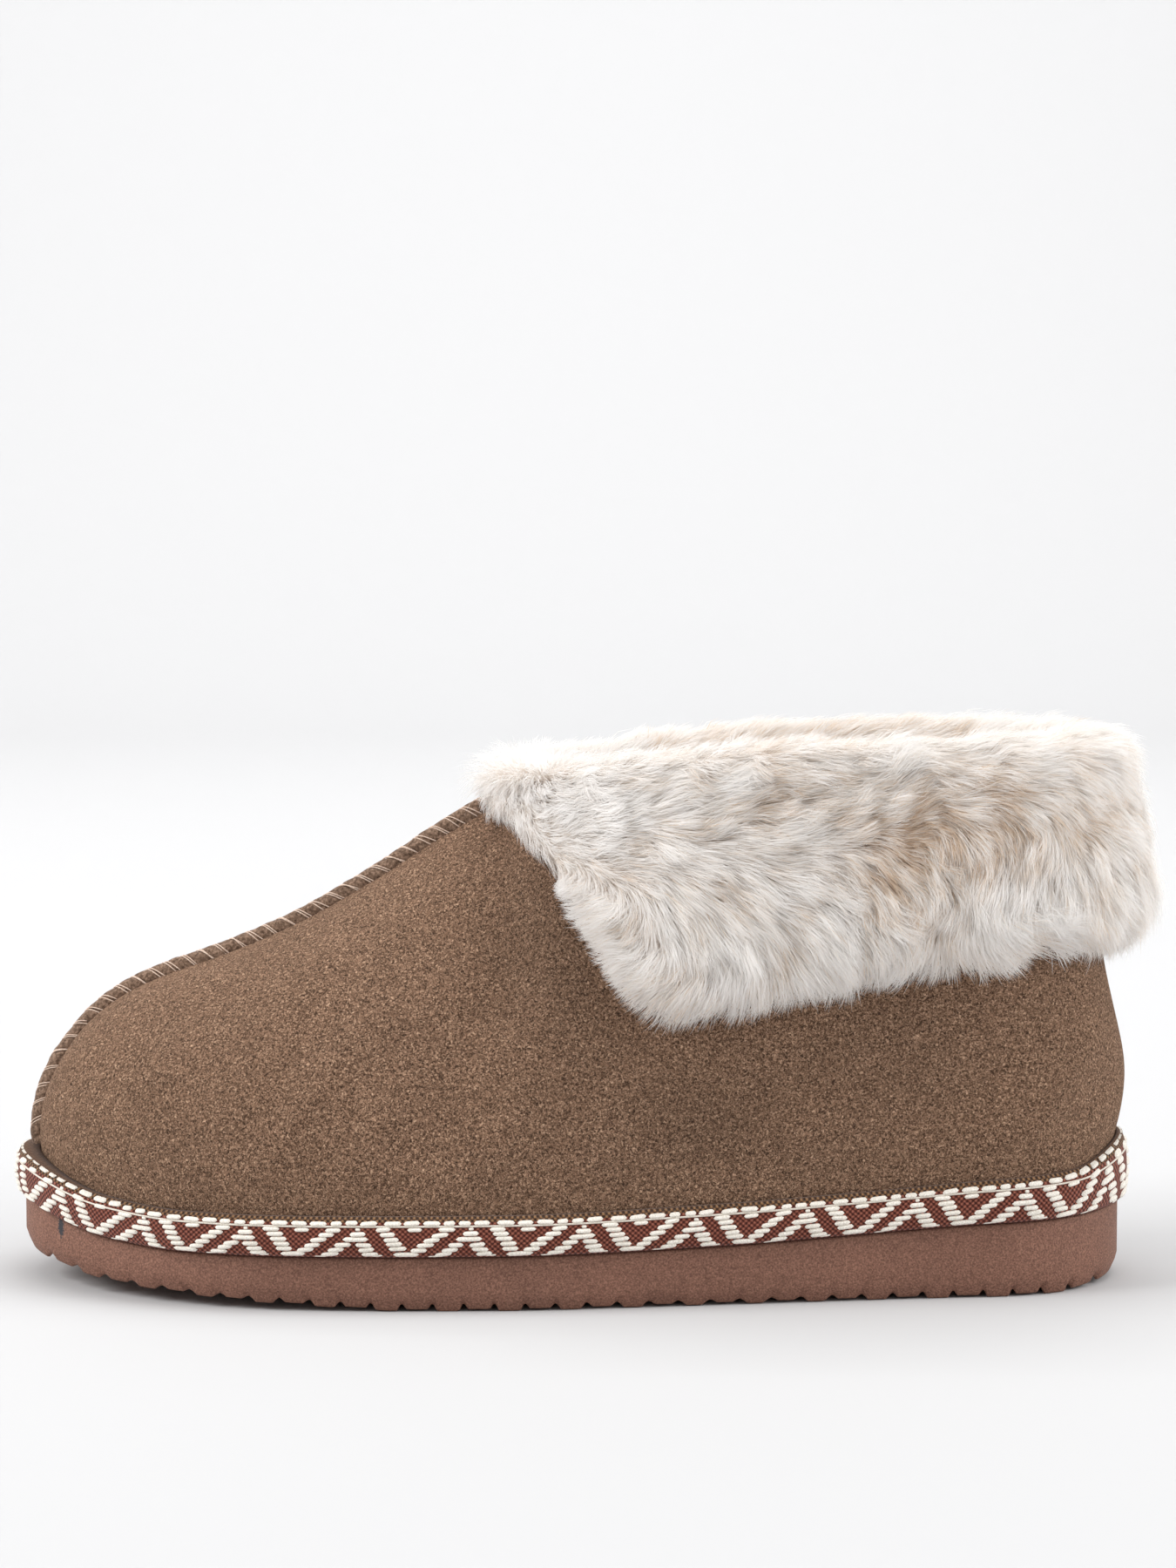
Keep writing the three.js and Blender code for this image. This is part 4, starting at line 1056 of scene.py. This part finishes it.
def fur_piece(name, count, rows, turns, length, lift, finish, width=0.2, clips=CLIPPED):
    i, j, fi, fj = roots(count, rows[0], rows[1], turns)
    root = read(base, i, j, fi, fj)
    normal = unit(read(base_normal, i, j, fi, fj))
    down = unit(read(base_down, i, j, fi, fj))
    along_ring = unit(np.cross(normal, down))
    heelward = along_ring * np.where((along_ring * read(base_back, i, j, fi, fj)).sum(1) > 0, 1.0, -1.0)[:, None]
    heelward *= np.where(i + fi < len(cuff_turn) / 2, 1.0, -1.0)[:, None]
    height = root[:, 2]
    angle = combed(root[:, 0], height)
    angle += 0.22 * waves(root, 16, 3) + 0.16 * waves(root, 7, 4)
    at = np.stack([turn_way[i] + fi * (turn_way[i + 1] - turn_way[i]), lerp(row_way[i, j], row_way[i, j + 1], fj)], -1)
    big, small = nearest_lock(at, 5.0, 11), nearest_lock(at, 1.3, 12)
    own_big, own_small = rng.normal(size=(big.max() + 1, 4)), rng.normal(size=(small.max() + 1, 4))
    bare = spots(PARTINGS_AND_SHADE, root[:, 0], height)
    short = np.minimum(spots(clips, root[:, 0], height), 0.45)
    angle += 0.13 * own_big[big, 0] + 0.13 * own_small[small, 0] + rng.normal(size=count) * 0.18
    reach = length * (1 + 0.08 * own_big[big, 1] + 0.08 * own_small[small, 1] + 0.1 * rng.normal(size=count)) * (1 - 0.3 * bare) * (1 - short)
    rise = lift * (1 + 0.1 * own_big[big, 2] + 0.12 * own_small[small, 2] + 0.22 * rng.normal(size=count)) + 0.12 * bare - np.minimum(short, 0) * 1.3
    bend = rng.normal(size=count) * 0.25 + 0.18 * own_big[big, 3]
    line = [root - normal * 0.5]
    for step in range(3):
        turn_now = angle + bend * step * 0.4
        rise_now = rise * (1.45 - 0.6 * step)
        flow = heelward * np.cos(turn_now)[:, None] + down * np.sin(turn_now)[:, None]
        way = flow * np.cos(rise_now)[:, None] + normal * np.sin(rise_now)[:, None]
        line.append(line[-1] + way * (reach / 3)[:, None])
    line = np.stack(line, 1)
    drawn(line, small, (0.08, 0.2, 0.32))
    drawn(line, big, (0.03, 0.08, 0.14))
    tangent = unit(np.gradient(line, axis=1))
    wide = unit(np.cross(tangent, normal[:, None]))
    roll = rng.normal(size=count)[:, None, None] * 0.3
    wide = unit(wide * np.cos(roll) + np.cross(tangent, wide) * np.sin(roll))
    half = width / 2 * np.array([0.9, 1.0, 0.7])[None, :, None] * rng.uniform(0.7, 1.3, count)[:, None, None]
    left, right = line[:, :3] - wide[:, :3] * half, line[:, :3] + wide[:, :3] * half
    points = np.concatenate([np.stack([left, right], 2).reshape(count, 6, 3), line[:, 3:]], 1)
    tone = 0.66 + 0.08 * own_big[big, 1] + 0.1 * own_small[small, 3] + 0.2 * rng.normal(size=count)
    # In the partings the tone turns tan: partly the tan roots, partly painted shade in the grooves.
    tone = np.clip(tone + 0.06 * waves(root, 22, 8) - 0.36 * bare + 0.25 * np.exp(-(((root[:, 0] - 116) / 22) ** 2)), 0, 1)
    along = np.array([0, 0, 0.33, 0.33, 0.67, 0.67, 1.0])
    uv = np.stack(np.broadcast_arrays(along[None, :], tone[:, None]), -1)
    start = np.arange(count)[:, None] * 7
    quads = np.concatenate([start + [0, 1, 3, 2], start + [2, 3, 5, 4]])
    piece = add_mesh(name, points.reshape(-1, 3), [quads, start + [4, 5, 6]], finish, uv.reshape(-1, 2))
    return piece


fur = hair_finish("fur", linear(247, 241, 235), linear(233, 215, 195), linear(254, 251, 248), linear(255, 254, 253))
MIDDLE = RING / 2
START, END = THROAT_STATION, RING - THROAT_STATION
fur_piece("fur_near_front", 39500, (1, 15), (START, 24.6), 11, 0.46, fur, width=0.17)
fur_piece("fur_near_back", 39500, (1, 15), (24.6, MIDDLE), 11, 0.46, fur, width=0.17)
fur_piece("fur_far", 27000, (1, 15), (MIDDLE, END), 11, 0.46, fur, width=0.27)
fur_piece("fur_rim", 32000, (14, 18), (START, END), 9.5, 0.55, fur, width=0.18, clips=CREST_CLIPS)
fur_piece("fur_inside", 12000, (18, 21), (START, END), 9, 0.45, fur, width=0.3)


# Studio
def floor_piece():
    depth = np.concatenate([np.linspace(-2.5, 1.6, 30), 1.6 + 0.9 * np.sin(np.linspace(0.05, 1.571, 24)), [2.5]])
    height = np.concatenate([np.zeros(30), 0.9 * (1 - np.cos(np.linspace(0.05, 1.571, 24))), [4]])
    across = np.linspace(-4, 4, 3)
    points = np.array([[x, d, h] for d, h in zip(depth, height) for x in across])
    make = Finish("paper", Roughness=0.9)
    make.shader.inputs["Base Color"].default_value = (0.6, 0.6, 0.605, 1)
    make.shader.inputs["Specular IOR Level"].default_value = 0.1
    mesh = bpy.data.meshes.new("floor")
    mesh.from_pydata((points).tolist(), [], lattice(len(depth), 3)[:, ::-1].tolist())
    mesh.polygons.foreach_set("use_smooth", [True] * len(mesh.polygons))
    mesh.materials.append(make.material)
    piece = bpy.data.objects.new("floor", mesh)
    bpy.context.collection.objects.link(piece)


def light(name, place, aim, size, power, color=(1, 1, 1)):
    data = bpy.data.lights.new(name, "AREA")
    data.shape = "RECTANGLE"
    data.size, data.size_y = size
    data.energy = power
    data.color = color
    lamp = bpy.data.objects.new(name, data)
    bpy.context.collection.objects.link(lamp)
    lamp.location = place
    way = np.array(aim) - np.array(place)
    pitch = math.atan2(math.hypot(way[0], way[1]), -way[2])
    lamp.rotation_euler = (pitch, 0, math.atan2(way[1], way[0]) - math.pi / 2)


floor_piece()
light("key", (-1.6, -0.45, 1.2), (0, 0, 0.05), (1.0, 1.0), 29)
light("fill", (1.6, -0.4, 0.9), (0, 0, 0.05), (1.0, 1.0), 18)
light("top", (0.1, 0.1, 1.7), (0, 0, 0.05), (1.8, 1.2), 14)
light("wall", (0, 0.9, 1.9), (0, 2.4, 0.9), (2.4, 0.5), 33)

world = bpy.data.worlds.new("studio")
bpy.context.scene.world = world
world.use_nodes = True
world.node_tree.nodes["Background"].inputs["Color"].default_value = (1, 1, 1, 1)
world.node_tree.nodes["Background"].inputs["Strength"].default_value = 0.55

camera = bpy.data.cameras.new("camera")
camera.lens = 98.38
camera.sensor_width = 36
camera.clip_start = 0.05
camera.clip_end = 20
eye = bpy.data.objects.new("camera", camera)
bpy.context.collection.objects.link(eye)
eye.location = (0.00007, -0.99916, 0.2065)
eye.rotation_euler = (math.radians(90 - 5.2), 0, 0)
bpy.context.scene.camera = eye
bpy.context.scene.view_settings.view_transform = "Standard"
